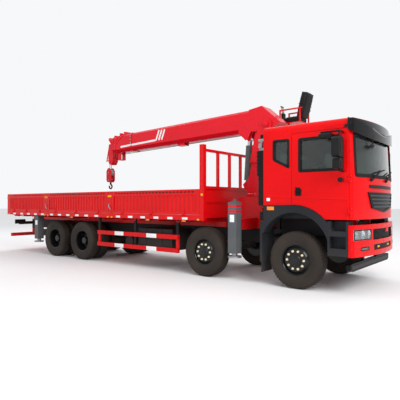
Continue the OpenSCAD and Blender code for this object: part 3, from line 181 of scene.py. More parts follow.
def wear(material, *names):
    """Puts a finish on CAD nodes, in place of the plain colours they came with."""
    for name in names:
        slots = nodes[name].data.materials
        slots.clear()
        slots.append(material)


# Satin alkyd chassis paint: near-black grey, soft highlights, brown dust low down.
chassis_paint = finish("satin_chassis_paint", "121315", "1A1B1D", 14.0, 0.5, 0.12, ("6B6055", 0.5, 1.1))
wear(chassis_paint, "frame", "axles", "driveline", "tanks",
     "knuckle_1r", "knuckle_1l", "knuckle_2r", "knuckle_2l")

# Wheels: steel-belted tyres with a blocked tread on black steel discs, ten nuts to a hub. The two front
# axles carry single dished wheels, the two rear axles carry twins on deep drums.
AXLES = {"1": 4.71, "2": 2.56, "3": -1.83, "4": -3.18}
HUB_Z, TYRE_MID, TWIN_STEP = 0.5325, 1.0675, -0.340
TYRE_R, TYRE_HALF, BEAD_R = 0.5325, 0.1375, 0.2864


def skin(name, material, body, grids, loop=False, sharp=32.0):
    """Skins grids of points into one piece that rides a body. A grid is (copies, rows, columns, 3); the
    columns close on themselves, and the rows too where loop is set. Other ends are closed to their middle."""
    points, faces, start = [], [], 0
    for grid in grids:
        grid = np.asarray(grid, float)
        grid = grid.reshape((-1,) + grid.shape[-3:])
        if not loop:
            tips = [np.broadcast_to(grid[:, k].mean(1)[:, None, None], grid[:, :1].shape) for k in (0, -1)]
            grid = np.concatenate([tips[0], grid, tips[1]], 1)
        index = start + np.arange(grid[..., 0].size).reshape(grid.shape[:3])
        here, above = (index, np.roll(index, -1, 1)) if loop else (index[:, :-1], index[:, 1:])
        faces.append(np.stack([here, np.roll(here, -1, 2), np.roll(above, -1, 2), above], -1).reshape(-1, 4))
        points.append(grid.reshape(-1, 3))
        start += grid[..., 0].size
    mesh = bpy.data.meshes.new(name)
    mesh.from_pydata(np.concatenate(points).tolist(), [], np.concatenate(faces).tolist())
    work = bmesh.new()
    work.from_mesh(mesh)
    bmesh.ops.remove_doubles(work, verts=work.verts, dist=1e-6)
    bmesh.ops.dissolve_degenerate(work, edges=work.edges, dist=1e-7)
    bmesh.ops.recalc_face_normals(work, faces=work.faces)
    work.to_mesh(mesh)
    work.free()
    mesh.shade_smooth()
    mesh.set_sharp_from_angle(angle=math.radians(sharp))
    mesh.materials.append(material)
    piece = bpy.data.objects.new(name, mesh)
    bpy.context.collection.objects.link(piece)
    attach(piece, body)
    return piece


def turned(profile, origin, axis, columns=24, start=0.0):
    """A profile of (radius, height) rows turned about an axis a: p = o + h a + r (u cos t + v sin t)."""
    a = np.asarray(axis, float) / np.linalg.norm(axis)
    u = np.cross(a, [0.0, 0.0, 1.0] if abs(a[2]) < 0.9 else [1.0, 0.0, 0.0])
    u /= np.linalg.norm(u)
    t = start + 2 * np.pi * np.arange(columns) / columns
    spoke = np.cos(t)[:, None] * u + np.sin(t)[:, None] * np.cross(a, u)
    r, h = np.asarray(profile, float).T
    return np.asarray(origin, float) + h[:, None, None] * a + r[:, None, None] * spoke


def tyre_rows(mid, out):
    """One tyre about the axle line: radius R(s) and place w(s) round the closed cross-section, turned by t.
    Ribs sink by the groove depth between the groove walls, and the shoulder blocks are parted by notches
    that open once a pitch; the ring of notches is P(t) = 1 inside the notch and 0 on the block."""
    pitches, depth = 56, 0.013
    steps = np.array([0.0, 0.03, 0.27, 0.30, 0.53, 0.77])
    notch = np.tile([0.0, 1.0, 1.0, 0.0, 0.0, 0.0], pitches)
    t = 2 * np.pi * ((np.arange(pitches)[:, None] + steps) / pitches).reshape(-1)
    half, top = TYRE_HALF, TYRE_R
    # Width place, radius, groove depth share, notch share for half of the section, from the middle outwards.
    half_rows = np.array([
        [0.000, top, 0, 0], [0.028, top, 0, 0], [0.030, top - 0.0002, 1, 0], [0.040, top - 0.0003, 1, 0],
        [0.042, top - 0.0004, 0, 0], [0.072, top - 0.002, 0, 0], [0.074, top - 0.002, 1, 0],
        [0.083, top - 0.003, 1, 0], [0.085, top - 0.003, 0, 1], [0.104, top - 0.006, 0, 1],
        [0.116, top - 0.014, 0, 1], [0.126, top - 0.032, 0, 0.85], [0.129, top - 0.052, 0, 0.35],
        [0.131, top - 0.062, 0, 0], [half - 0.001, top - 0.095, 0, 0], [half, top - 0.125, 0, 0],
        [half - 0.002, top - 0.150, 0, 0], [half - 0.006, top - 0.178, 0, 0],
        [half - 0.007, top - 0.181, 0, 0], [half - 0.011, top - 0.184, 0, 0],
        [half - 0.014, top - 0.205, 0, 0], [half - 0.022, BEAD_R + 0.018, 0, 0], [half - 0.032, BEAD_R, 0, 0]])
    left = half_rows[:0:-1] * np.array([-1, 1, 1, 1])
    w, r, groove, cut = np.concatenate([left, half_rows]).T
    sway = 0.004 * np.where(np.arange(t.size) % 6 < 3, 1.0, -1.0)
    width = w[:, None] + np.where((np.abs(w) < 0.045) & (np.abs(w) > 0.02), 1.0, 0.0)[:, None] * sway
    radius = r[:, None] - depth * np.maximum(groove[:, None], cut[:, None] * notch)
    return np.stack([radius * np.cos(t), out * (mid + width), radius * np.sin(t)], -1)


# Carbon-black tyre rubber: dull, brown-grey with road dust.
tyre_rubber = finish("tyre_rubber", "2B2623", "3D3630", 9.0, 0.78, 0.25)
# Black stoved wheel enamel: a deep gloss with faint runs.
wheel_enamel = finish("black_wheel_enamel", "0B0B0C", "151516", 18.0, 0.34, 0.06,
                      **{"Coat Weight": 0.4})
# Cream moulded nylon caps over the wheel nuts: pale, a little waxy.
nut_caps = finish("cream_nylon_caps", "D9CBAA", "EBDFC2", 6.0, 0.42, 0.08)

disc_single = np.array([
    [0.266, -0.105], [0.298, -0.108], [0.300, -0.100], [0.286, -0.094], [0.286, 0.094], [0.300, 0.100],
    [0.302, 0.108], [0.296, 0.112], [0.286, 0.108], [0.272, 0.098], [0.262, 0.080], [0.256, 0.066],
    [0.244, 0.070], [0.222, 0.096], [0.214, 0.104], [0.200, 0.107], [0.124, 0.107], [0.112, 0.110],
    [0.106, 0.124], [0.098, 0.130], [0.074, 0.130], [0.070, 0.138], [0.062, 0.141], [0.030, 0.143], [0.0, 0.143]])
disc_twin = np.array([
    [0.266, -0.445], [0.298, -0.448], [0.286, -0.434], [0.286, 0.094], [0.300, 0.100], [0.302, 0.108],
    [0.296, 0.112], [0.286, 0.108], [0.274, 0.096], [0.268, 0.060], [0.262, 0.000], [0.258, -0.100],
    [0.252, -0.150], [0.236, -0.166], [0.200, -0.170], [0.132, -0.170], [0.124, -0.150], [0.120, -0.070],
    [0.112, -0.020], [0.098, 0.020], [0.090, 0.034], [0.060, 0.036], [0.0, 0.036]])
nut_rows = np.array([[0.021, -0.004], [0.023, 0.0], [0.023, 0.004], [0.019, 0.006], [0.019, 0.024],
                     [0.016, 0.030], [0.008, 0.033]])
for axle, axle_x in AXLES.items():
    for hand, out in (("r", -1.0), ("l", 1.0)):
        wheel = f"wheel_{axle}{hand}"
        hub = np.array([axle_x, out * TYRE_MID, HUB_Z])
        twin = axle in "34"
        tyre = skin(f"tyre_{axle}{hand}", tyre_rubber, wheel,
                    [hub + tyre_rows(mid, out) for mid in ((0.0, TWIN_STEP) if twin else (0.0,))],
                    loop=True, sharp=40.0)
        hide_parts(wheel)
        skin(f"disc_{axle}{hand}", wheel_enamel, wheel,
             [turned(disc_twin if twin else disc_single, hub, (0.0, out, 0.0), 56)])
        ring = 2 * np.pi * np.arange(10) / 10
        seat = -0.170 if twin else 0.107
        studs = hub + np.stack([0.168 * np.cos(ring), np.full(10, out * seat), 0.168 * np.sin(ring)], -1)
        skin(f"nuts_{axle}{hand}", nut_caps, wheel,
             [turned(nut_rows, (0.0, 0.0, 0.0), (0.0, out, 0.0), 12) + studs[:, None, None]])

# Load bed: folded steel sills, posts and corrugated gates in gloss red, with steel latch levers and yellow
# latch blocks on the posts, white reflective patches along the sills and small amber lamps below them.
POSTS = np.array([2.548, -0.5123, -3.5166, -5.877])
SIDE_Y, SILL_LOW, FLOOR_TOP = 1.25, 1.21, 1.30


def slab(size, edge, turns=3):
    """A block with rolled edges about the origin: a rounded rectangle stacked along Z, its corner radius
    growing as edge * sin q while the height rises as edge * (1 - cos q) at each end."""
    w, d, h = (np.asarray(size, float) / 2 - edge)
    q = np.linspace(0.0, np.pi / 2, turns)
    radius = np.concatenate([np.sin(q), np.sin(q)[::-1]]) * edge
    height = np.concatenate([-h - edge * np.cos(q), h + edge * np.cos(q)[::-1]])
    phi = (np.arange(4)[:, None] * np.pi / 2 + np.linspace(0.0, np.pi / 2, turns)).reshape(-1)
    cx = np.repeat([w, -w, -w, w], turns)
    cy = np.repeat([d, d, -d, -d], turns)
    return np.stack([cx + radius[:, None] * np.cos(phi), cy + radius[:, None] * np.sin(phi),
                     np.broadcast_to(height[:, None], (height.size, phi.size))], -1)


def drawn(path, profile, up=(0.0, 0.0, 1.0)):
    """A profile carried along a path: p = c(s) + x n(s) + y b(s), n level across the run and b square to both."""
    path, profile = np.asarray(path, float), np.asarray(profile, float)
    run = np.gradient(path, axis=0)
    run /= np.linalg.norm(run, axis=1, keepdims=True)
    across = np.cross(np.broadcast_to(up, run.shape), run)
    across /= np.linalg.norm(across, axis=1, keepdims=True)
    lift = np.cross(run, across)
    return path[:, None] + profile[:, :1] * across[:, None] + profile[:, 1:] * lift[:, None]


def round_bar(d, columns=10):
    """A circle of diameter d as a profile: (d / 2)(cos t, sin t)."""
    t = 2 * np.pi * np.arange(columns) / columns
    return d / 2 * np.stack([np.cos(t), np.sin(t)], -1)


def both(grid):
    """The grid and its mirror image across the truck's middle plane, as two copies."""
    grid = np.asarray(grid, float)
    grid = grid.reshape((-1,) + grid.shape[-3:])
    return np.concatenate([grid, grid * [1.0, -1.0, 1.0]])


def row(xs, y, z):
    """Offsets for copies that stand in a row along X."""
    xs = np.atleast_1d(np.asarray(xs, float))
    return np.stack([xs, np.full(xs.size, y), np.full(xs.size, z)], -1)[:, None, None]


# Two-pack gloss enamel over sheet steel: saturated red, a clear skin with a slow orange-peel ripple.
# The real ripple is about 3 mm and is drawn at 16 mm so that it shows.
red_paint = finish("gloss_red_enamel", "D2070C", "DC0B11", 16.0, 0.3, 0.03, ("8A5A50", 0.3, 1.0),
                   **{"Coat Weight": 0.12, "Coat Roughness": 0.06})
wear(red_paint, "bed_frame", "headboard", "tailgate", "gate_r1", "gate_r2", "gate_r3",
     "gate_l1", "gate_l2", "gate_l3")
# Yellow chromate enamel on the latch blocks: bright, with clouded tones.
latch_yellow = finish("yellow_latch_enamel", "D9A514", "F0C22A", 8.0, 0.4, 0.1)
# Zinc-plated steel: pale grey with a cloudy passivated bloom.
zinc_plate = finish("zinc_plated_steel", "9A9DA0", "B8BABC", 7.0, 0.36, 0.08, Metallic=0.9)
# Retro-reflective sheet: white with a waxy top skin; its prism cells are too fine to show and are drawn at 9 mm.
reflector_white = finish("white_reflective_sheet", "E4E6E6", "F6F7F6", 9.0, 0.28, 0.15,
                         **{"Coat Weight": 0.6})
# Moulded amber acrylic lens: deep orange with a bright wet skin, and a faint painted glow from its emission.
amber_lens = finish("amber_acrylic_lens", "D9660A", "F08A1C", 10.0, 0.15, 0.25,
                    **{"Coat Weight": 0.8, "Emission Strength": 0.15, "Emission Color": linear("F08A1C")})
# Moulded black rubber: matt, with a fine grain.
black_rubber = finish("black_moulded_rubber", "141414", "1E1D1D", 5.0, 0.65, 0.15)

patch_x = np.array([-5.45, -4.99, -4.57, -4.15, -3.75, -3.24, -2.82, -2.4, -1.96, -1.53, -1.08,
                    -0.19, 0.27, 0.72, 1.17, 1.62, 2.07])
skin("sill_patches", reflector_white, "chassis",
     [both(slab((0.16, 0.005, 0.05), 0.002) + row(patch_x, SIDE_Y, 1.246))])
latch_x = (POSTS[1:3, None] + [-0.036, 0.036]).reshape(-1)
latch_x = np.concatenate([latch_x, [POSTS[3] - 0.02, POSTS[0] + 0.02]])
skin("latch_blocks", latch_yellow, "chassis",
     [both(slab((0.046, 0.03, 0.05), 0.007) + row(latch_x, SIDE_Y + 0.012, 1.77)),
      both(slab((0.05, 0.02, 0.036), 0.006) + row(np.concatenate([POSTS[1:3] - 0.08, POSTS[1:3] + 0.08,
                                                                   [POSTS[3] + 0.08, POSTS[0] - 0.09]]),
                                                    SIDE_Y + 0.008, 1.228))])
lever_bend = np.linspace(0.0, 1.0, 9)
lever = np.stack([0.05 * lever_bend, 0.012 + 0.03 * np.sin(np.pi * lever_bend), -0.14 * lever_bend], -1)
skin("latch_levers", zinc_plate, "chassis",
     [both(drawn(lever, round_bar(0.02), (1.0, 0.0, 0.0)) + row(POSTS[1:3] - 0.02, SIDE_Y, 1.57))])
lamp_x = np.array([-4.92, -2.21, 0.89, 2.04])
skin("side_lamp_bases", black_rubber, "chassis",
     [both(slab((0.13, 0.05, 0.05), 0.008) + row(lamp_x, SIDE_Y - 0.03, 1.188))])
skin("side_lamps", amber_lens, "chassis",
     [both(slab((0.115, 0.03, 0.036), 0.012) + row(lamp_x, SIDE_Y - 0.006, 1.188))])
hook_bend = np.linspace(-1.0, 1.0, 13)
hook_path = np.stack([0.05 * hook_bend, np.zeros(13), -0.055 * np.sqrt(1.0 - (0.98 * hook_bend) ** 4)], -1)
skin("rope_hooks", red_paint, "chassis",
     [both(drawn(hook_path, round_bar(0.018), (0.0, 1.0, 0.0))
           + row([-5.26, -4.41, -2.46, -1.31, 0.37, 1.83], SIDE_Y - 0.05, SILL_LOW + 0.006))])
# Painted shade: a row of black slabs on each gate stands for the dark inside its slots.
gate_edges = [(POSTS[k + 1] + 0.061, POSTS[k] - 0.061) for k in range(3)]
for k, (gate_back, gate_front) in enumerate(gate_edges, 1):
    slot_x = gate_back + 0.13 + (gate_front - gate_back - 0.26) * (np.arange(24) + 0.5) / 24
    slot_w = 0.58 * (gate_front - gate_back - 0.26) / 24
    for hand, out in (("r", -1.0), ("l", 1.0)):
        skin(f"gate_slot_shade_{hand}{k}", black_rubber, f"gate_{hand}{k}",
             [slab((slot_w, 0.012, 0.032), 0.002, 2) + row(slot_x, out * (SIDE_Y - 0.0045), 1.836)])

# Bed floor: chequered steel plate welded to the bearers, its raised lozenges polished by loads. It lies
# three millimetres thick on the floor's top face.
# Rolled chequer plate: worn grey-brown steel, lozenges about 30 mm long drawn at 60 mm so that they show.
chequer_plate = finish("chequered_steel_plate", "4A4644", "5E5955", 60.0, 0.5, 0.6, Metallic=0.7)
floor_run = np.stack([np.linspace(-5.85, 2.53, 29), np.zeros(29), np.full(29, FLOOR_TOP + 0.0016)], -1)
skin("bed_floor_plate", chequer_plate, "chassis",
     [drawn(floor_run, [(1.145, -0.0015), (1.145, 0.0015), (-1.145, 0.0015), (-1.145, -0.0015)])])

# Side guards and rear bumpers: pressed rails bolted below the sills on black hangers, red like the bed, with white
# reflective patches on the guard rails. The upper rear bar is black and carries the tail lamps.
# Gloss red enamel on bar and rails: the bed's red, a little duller.
RAIL_LOW, RAIL_HIGH, MID_HANGER = 0.551, 0.861, (0.31, 0.41)
guard_paint = finish("gloss_red_guard_enamel", "CC070C", "D60B11", 16.0, 0.34, 0.03, ("8A5A50", 0.4, 1.0),
                     zones=[("17181A", 0.5, (None, None, (0.72, 1.2)))], **{"Coat Weight": 0.12})
rail_paint = finish("gloss_red_rail_enamel", "CC070C", "D60B11", 16.0, 0.34, 0.03, zones=[
    ("141415", 0.5, (None, None, (RAIL_HIGH, 2.0))),
    ("141415", 0.5, (MID_HANGER, None, (RAIL_LOW, RAIL_HIGH - 0.102)))])
wear(rail_paint, "side_guards")
wear(guard_paint, "rear_bumper")
patch_pairs = np.array([-0.21, 0.965])
skin("guard_patches", reflector_white, "chassis",
     [both(slab((0.34, 0.005, 0.098), 0.002) + row(patch_pairs, 1.2, z)) for z in (0.81, 0.5)])
# Moulded red acrylic lens: deep ruby with a wet skin.
red_lens = finish("ruby_acrylic_lens", "9E0C12", "C4141A", 10.0, 0.15, 0.25, **{"Coat Weight": 0.8})
rear_x = float(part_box("rear_bumper")[0][0])
skin("tail_lamp_boxes", black_rubber, "chassis",
     [both(slab((0.07, 0.36, 0.15), 0.01) + [rear_x + 0.06, 0.86, 0.96])])
skin("tail_lamps_red", red_lens, "chassis",
     [both(slab((0.03, 0.15, 0.12), 0.01) + [rear_x + 0.022, 0.95, 0.96])])
skin("tail_lamps_amber", amber_lens, "chassis",
     [both(slab((0.03, 0.09, 0.12), 0.01) + [rear_x + 0.022, 0.825, 0.96])])
skin("tail_lamps_clear", reflector_white, "chassis",
     [both(slab((0.03, 0.07, 0.12), 0.01) + [rear_x + 0.022, 0.74, 0.96])])

# Cab shell: pressed steel panels spot-welded and sprayed gloss red, two doors on outside hinges, black rubber
# round every pane. A raised crease and a black pull handle cross each door.
# Gloss red enamel: the brightest red on the truck, with an even, quiet shine.
cab_red = finish("gloss_red_cab_enamel", "D6070C", "DF0B11", 16.0, 0.3, 0.01,
                 **{"Coat Weight": 0.05, "Coat Roughness": 0.06, "Specular IOR Level": 0.1})
wear(cab_red, "cab_body", "cab_roof", "cab_front", "door_r", "door_l")
CAB_Y, CAB_BACK, CAB_NOSE, NOSE_R = 1.22, 4.06, 5.935, 4.2
DOOR_BACK, DOOR_FRONT, BELT_Z, GLASS_TOP = 4.66, 5.715, 2.16, 2.76
# Tempered tinted glass: a green-grey pane that shows the seats behind, with a hard reflection.
cab_pane = finish("tinted_glass", "6E7B78", "78857F", 60.0, 0.04, 0.0,
                  **{"Transmission Weight": 0.9, "IOR": 1.45, "Coat Weight": 0.3})
wear(cab_pane, "cab_glass", "door_glass_r", "door_glass_l")


def rounded(corners, radius, turns=6):
    """A closed outline through flat corners (u, v), each corner cut back by radius along both its sides and
    bent as a quadratic curve, p = (1 - s)^2 a + 2 s (1 - s) c + s^2 b."""
    c = np.asarray(corners, float)
    before, after = np.roll(c, 1, 0) - c, np.roll(c, -1, 0) - c
    a = c + radius * before / np.linalg.norm(before, axis=1, keepdims=True)
    b = c + radius * after / np.linalg.norm(after, axis=1, keepdims=True)
    s = np.linspace(0.0, 1.0, turns)[None, :, None]
    return ((1 - s) ** 2 * a[:, None] + 2 * s * (1 - s) * c[:, None] + s ** 2 * b[:, None]).reshape(-1, 2)


def strip(loop, out, wide, thick):
    """A flat strip along a closed loop of points: a box section of wide by thick carried round it, wide
    towards the loop's middle and thick along the outward direction given for each point."""
    loop, out = np.asarray(loop, float), np.broadcast_to(np.asarray(out, float), np.shape(loop))
    run = np.roll(loop, -1, 0) - np.roll(loop, 1, 0)
    run /= np.linalg.norm(run, axis=1, keepdims=True)
    inward = np.cross(out, run)
    inward *= np.sign(((loop.mean(0) - loop) * inward).sum(1).mean())
    corner = [(0, 0), (wide, 0), (wide, thick), (0, thick)]
    return np.stack([loop + u * inward + v * out for u, v in corner], 1)


door_pane = rounded([(DOOR_BACK + 0.13, BELT_Z - 0.015), (DOOR_FRONT - 0.085, BELT_Z - 0.015),
                     (DOOR_FRONT - 0.085, GLASS_TOP - 0.06), (DOOR_FRONT - 0.165, GLASS_TOP + 0.015),
                     (DOOR_BACK + 0.13, GLASS_TOP + 0.015)], 0.05)
rear_pane = rounded([(CAB_BACK + 0.205, BELT_Z + 0.235), (DOOR_BACK - 0.045, BELT_Z + 0.06),
                     (DOOR_BACK - 0.045, GLASS_TOP + 0.025), (CAB_BACK + 0.205, GLASS_TOP + 0.025)], 0.045)
ridge = [(-0.022, 0.0), (-0.003, 0.012), (0.003, 0.012), (0.022, 0.0), (0.0, -0.004)]
pod = [(0.012, -0.004), (0.014, 0.02), (0.034, 0.026), (0.044, 0.04), (0.042, 0.056), (0.024, 0.066)]
back_pane = rounded([(-0.715, 2.135), (0.715, 2.135), (0.715, 2.665), (-0.715, 2.665)], 0.06)
for hand, out in (("r", -1.0), ("l", 1.0)):
    flat = np.insert(door_pane, 1, out * (CAB_Y - 0.002), axis=1)
    skin(f"door_window_seal_{hand}", black_rubber, f"door_{hand}",
         [strip(flat, (0.0, out, 0.0), 0.052, 0.007)], loop=True)
    flat = np.insert(rear_pane, 1, out * (CAB_Y - 0.002), axis=1)
    skin(f"quarter_window_seal_{hand}", black_rubber, "chassis",
         [strip(flat, (0.0, out, 0.0), 0.045, 0.007)], loop=True)
    pull = np.linspace(0.0, 1.0, 15)
    grip = np.stack([DOOR_BACK + 0.075 + 0.105 * pull, out * (CAB_Y - 0.006 + 0.026 * np.sin(np.pi * pull) ** 0.5),
                     np.full(15, BELT_Z - 0.355)], -1)
    skin(f"door_pull_{hand}", black_rubber, f"door_{hand}",
         [drawn(grip, 1.5 * round_bar(0.022, 12)),
          slab((0.11, 0.006, 0.15), 0.003) + [DOOR_BACK + 0.125, out * (CAB_Y - 0.011), BELT_Z - 0.365]])
    crease = np.stack([np.linspace(DOOR_BACK + 0.02, DOOR_FRONT - 0.03, 12), np.full(12, out * (CAB_Y - 0.001)),
                       np.linspace(1.687, 1.649, 12)], -1)
    skin(f"door_crease_{hand}", cab_red, f"door_{hand}",
         [drawn(crease, ridge, (0.0, out, 0.0))])
    crease = np.stack([np.linspace(CAB_BACK + 0.02, DOOR_BACK - 0.02, 8), np.full(8, out * (CAB_Y - 0.001)),
                       np.linspace(1.721, 1.69, 8)], -1)
    skin(f"cab_crease_{hand}", cab_red, "chassis",
         [drawn(crease, ridge, (0.0, out, 0.0))])
    skin(f"cab_side_tag_{hand}", reflector_white, "chassis",
         [slab((0.072, 0.004, 0.058), 0.0015) + [CAB_BACK + 0.106, out * CAB_Y, 1.656]])
    skin(f"door_pod_{hand}", black_rubber, f"door_{hand}",
         [turned(pod, (DOOR_FRONT - 0.13, out * CAB_Y, 1.985), (0.0, out, 0.0), 20)])
flat = np.insert(back_pane, 0, CAB_BACK + 0.002, axis=1)
skin("back_window_seal", black_rubber, "chassis", [strip(flat, (-1.0, 0.0, 0.0), 0.045, 0.007)], loop=True)

# Nose: a bowed steel panel with a black moulded grille, windscreen in a rubber surround with two wipers, smoked
# visor above, and below it the bumper with lamps behind clear covers and a pressed under-run bar.


def nose(y, z, out=0.0):
    """Points on the nose, out ahead of it: x = c + sqrt((R + out - k)^2 - y^2), where k leans the screen back
    by 45 mm between the cowl at 2.04 m and the roof at 3.06 m."""
    y, z = np.broadcast_arrays(np.asarray(y, float), np.asarray(z, float))
    lean = 0.045 * np.clip((z - 2.04) / 1.02, 0.0, 1.0)
    return np.stack([CAB_NOSE - NOSE_R + np.sqrt((NOSE_R + out - lean) ** 2 - y ** 2), y, z], -1)


def nose_out(y):
    """Outward direction on the nose at y, level: (cos a, sin a, 0) with sin a = y / R."""
    lean = np.asarray(y, float) / NOSE_R
    return np.stack([np.sqrt(1.0 - lean ** 2), lean, np.zeros_like(lean)], -1)


# Injection-moulded black plastic: satin, with a fine spark-eroded grain.
black_plastic = finish("black_moulded_plastic", "121213", "1B1B1C", 4.0, 0.42, 0.12)
wear(black_plastic, "grille")
# Painted highlight: satin grey strips on the slat edges, standing in for the soft line of light they catch.
slat_highlight_paint = finish("painted_slat_highlight", "3C4043", "4A4E52", 6.0, 0.4, 0.05)
edge_bar = [(-0.003, -0.012), (0.003, -0.010), (0.003, 0.010), (-0.003, 0.012)]
skin("grille_slat_highlights", slat_highlight_paint, "chassis",
     [drawn(nose(np.linspace(-0.655 + 0.04 * k, 0.655 - 0.04 * k, 21), 1.72 - 0.066 * k, 0.022), edge_bar)
      for k in range(4)])
screen = rounded([(-1.12, 2.035), (1.12, 2.035), (1.12, 2.805), (-1.12, 2.805)], 0.07, 8)
screen_edge = np.concatenate([screen + (np.roll(screen, -1, 0) - screen) * k for k in np.linspace(0, 0.92, 8)])
screen_edge = screen_edge.reshape(8, -1, 2).transpose(1, 0, 2).reshape(-1, 2)
skin("windscreen_seal", black_rubber, "chassis",
     [strip(nose(screen_edge[:, 0], screen_edge[:, 1], 0.001), nose_out(screen_edge[:, 0]), 0.06, 0.008)],
     loop=True)
for k, (foot_y, tip_y) in enumerate(((-0.62, 0.02), (0.12, 0.74))):
    s = np.linspace(0.0, 1.0, 14)
    arm = nose(foot_y + (tip_y - foot_y) * s * 0.55, 2.0 + 0.16 * s, 0.028)
    blade = nose(foot_y + 0.04 + (tip_y - foot_y - 0.02) * s, 2.10 + 0.11 * s, 0.018)
    skin(f"wiper_{k + 1}", black_rubber, "chassis",
         [drawn(arm, 0.5 * np.array([(0.014, -0.03), (0.014, 0.03), (-0.014, 0.03), (-0.014, -0.03)])),
          drawn(blade, 0.5 * np.array([(0.03, -0.016), (0.03, 0.016), (-0.03, 0.012), (-0.03, -0.012)])),
          turned([(0.026, -0.01), (0.026, 0.02), (0.018, 0.03), (0.008, 0.034)],
                 nose(foot_y, 2.0, 0.012), (1, 0, 0), 16)])
# Smoked acrylic sheet: near black, clear enough to see light through, with a wet gloss.
smoked_acrylic = finish("smoked_acrylic", "0B0D0E", "121516", 40.0, 0.08, 0.0,
                        **{"Transmission Weight": 0.2, "Coat Weight": 0.15, "Specular IOR Level": 0.2})
wear(smoked_acrylic, "visor")
cap_y = np.linspace(-1.13, 1.13, 41)
cap = np.stack([nose(cap_y, z, out) for z, out in ((2.885, 0.003), (3.052, 0.003), (3.052, 0.012), (3.02, 0.021),
                                                   (2.885, 0.021))], 1)
skin("visor_cap", smoked_acrylic, "chassis", [cap])
mesh_y = np.linspace(-0.57, 0.57, 39)
mesh_z = np.linspace(0.953, 1.107, 8)
wire = 0.5 * np.array([(0.006, -0.006), (0.006, 0.006), (-0.006, 0.006), (-0.006, -0.006)])
skin("bumper_mesh", black_plastic, "chassis",
     [drawn(nose(np.linspace(-0.572, 0.572, 25), z, -0.002), wire) for z in mesh_z]
     + [drawn(nose(np.full(3, y), np.linspace(0.937, 1.123, 3), -0.004), wire, (1.0, 0.0, 0.0)) for y in mesh_y])
skin("bumper_lower_bars", black_plastic, "chassis",
     [drawn(nose(np.linspace(-0.535, 0.535, 25), z, 0.0), 2 * wire) for z in (0.774, 0.80, 0.826)])
skin("bumper_slot_tags", latch_yellow, "chassis",
     [slab((0.02, 0.09, 0.03), 0.004) + nose(y, 0.80, 0.006) for y in (-0.30, 0.30)])
# Gloss red enamel: the cab's red, painted near black inside the openings as the shade within them, and near black on
# the bar below.
bumper_red = finish("gloss_red_bumper_enamel", "D4070C", "DD0B11", 16.0, 0.28, 0.03, zones=[
    ("0D0D0E", 0.5, (None, (-1.0, 0.577), (0.935, 1.125))), ("0D0D0E", 0.5, (None, (-1.0, 0.54), (0.75, 0.85))),
    ("1A1A1B", 0.5, (None, (0.72, 1.0), (0.76, 0.83))), ("9A9C9E", 0.3, (None, (0.64, 1.195), (0.945, 1.13))),
    ("141415", 0.5, (None, None, (0.0, 0.63)))],
    **{"Coat Weight": 0.05, "Coat Roughness": 0.06, "Specular IOR Level": 0.1})
wear(bumper_red, "front_bumper")
skin("bumper_tow_cover", cab_red, "chassis", [slab((0.02, 0.15, 0.07), 0.006) + nose(0.2, 1.083, 0.006)])
# Clear polycarbonate lamp covers: bright, faintly fluted, with a hard reflection.
clear_cover = finish("clear_polycarbonate", "DDE2E4", "EEF1F2", 30.0, 0.06, 0.1,
                     zones=[("B01018", 0.2, (None, None, (2.9, 3.3)))], **{"Transmission Weight": 0.85, "IOR": 1.2})
wear(clear_cover, "headlamps")
# Vacuum-plated reflector: mirror-bright silver.
reflector_silver = finish("plated_reflector", "C9CCCE", "E3E5E6", 20.0, 0.12, 0.02, Metallic=1.0)
bowl = [(0.070, 0.024), (0.076, 0.026), (0.076, 0.020), (0.06, 0.006), (0.034, -0.004), (0.030, 0.012),
        (0.022, 0.022), (0.008, 0.026)]
skin("lamp_bowls", reflector_silver, "chassis",
     [both(turned(bowl, nose(y, 1.037, -0.006), nose_out(y), 28)) for y in (0.735, 0.93)])
skin("lamp_bezels", black_plastic, "chassis",
     [both(strip(nose(ring[:, 0], ring[:, 1], 0.018), nose_out(ring[:, 0]), 0.014, 0.008))
      for ring in (rounded([(0.645, 0.95), (1.18, 0.95), (1.18, 1.125), (0.645, 1.125)], 0.03),
                   rounded([(0.725, 0.765), (0.995, 0.765), (0.995, 0.825), (0.725, 0.825)], 0.015))],
     loop=True)
bar_path = np.stack([np.full(24, 5.722), np.linspace(-1.10, 1.10, 24), np.full(24, 0.47)], -1)
skin("under_run_rib", black_plastic, "chassis",
     [drawn(bar_path, [(-0.004, -0.03), (-0.004, 0.03), (0.008, 0.02), (0.008, -0.02)])])

# Mirrors: black moulded housings on bent steel tube, each with a silvered glass that faces the rear.
wear(black_plastic, "mirror_r", "mirror_l")
# Silvered mirror glass: a cold, sharp reflection.
mirror_glass = finish("silvered_glass", "BFC6C8", "CDD3D4", 60.0, 0.03, 0.0, Metallic=1.0)
arm_x, arm_y = DOOR_FRONT - 0.09, CAB_Y + 0.19
for hand, out in (("r", -1.0), ("l", 1.0)):
    skin(f"mirror_glasses_{hand}", mirror_glass, f"door_{hand}",
         [slab((0.006, 0.19, 0.31), 0.003) + [arm_x - 0.091, out * (arm_y + 0.015), 2.53],
          slab((0.006, 0.16, 0.13), 0.003) + [arm_x - 0.081, out * (arm_y + 0.01), 2.2475]])
    skin(f"mirror_ribs_{hand}", black_plastic, f"door_{hand}",
         [slab((0.012, 0.14, 0.26), 0.005) + [arm_x + 0.041, out * (arm_y + 0.015), 2.53],
          slab((0.012, 0.12, 0.10), 0.005) + [arm_x + 0.041, out * (arm_y + 0.01), 2.2475]])

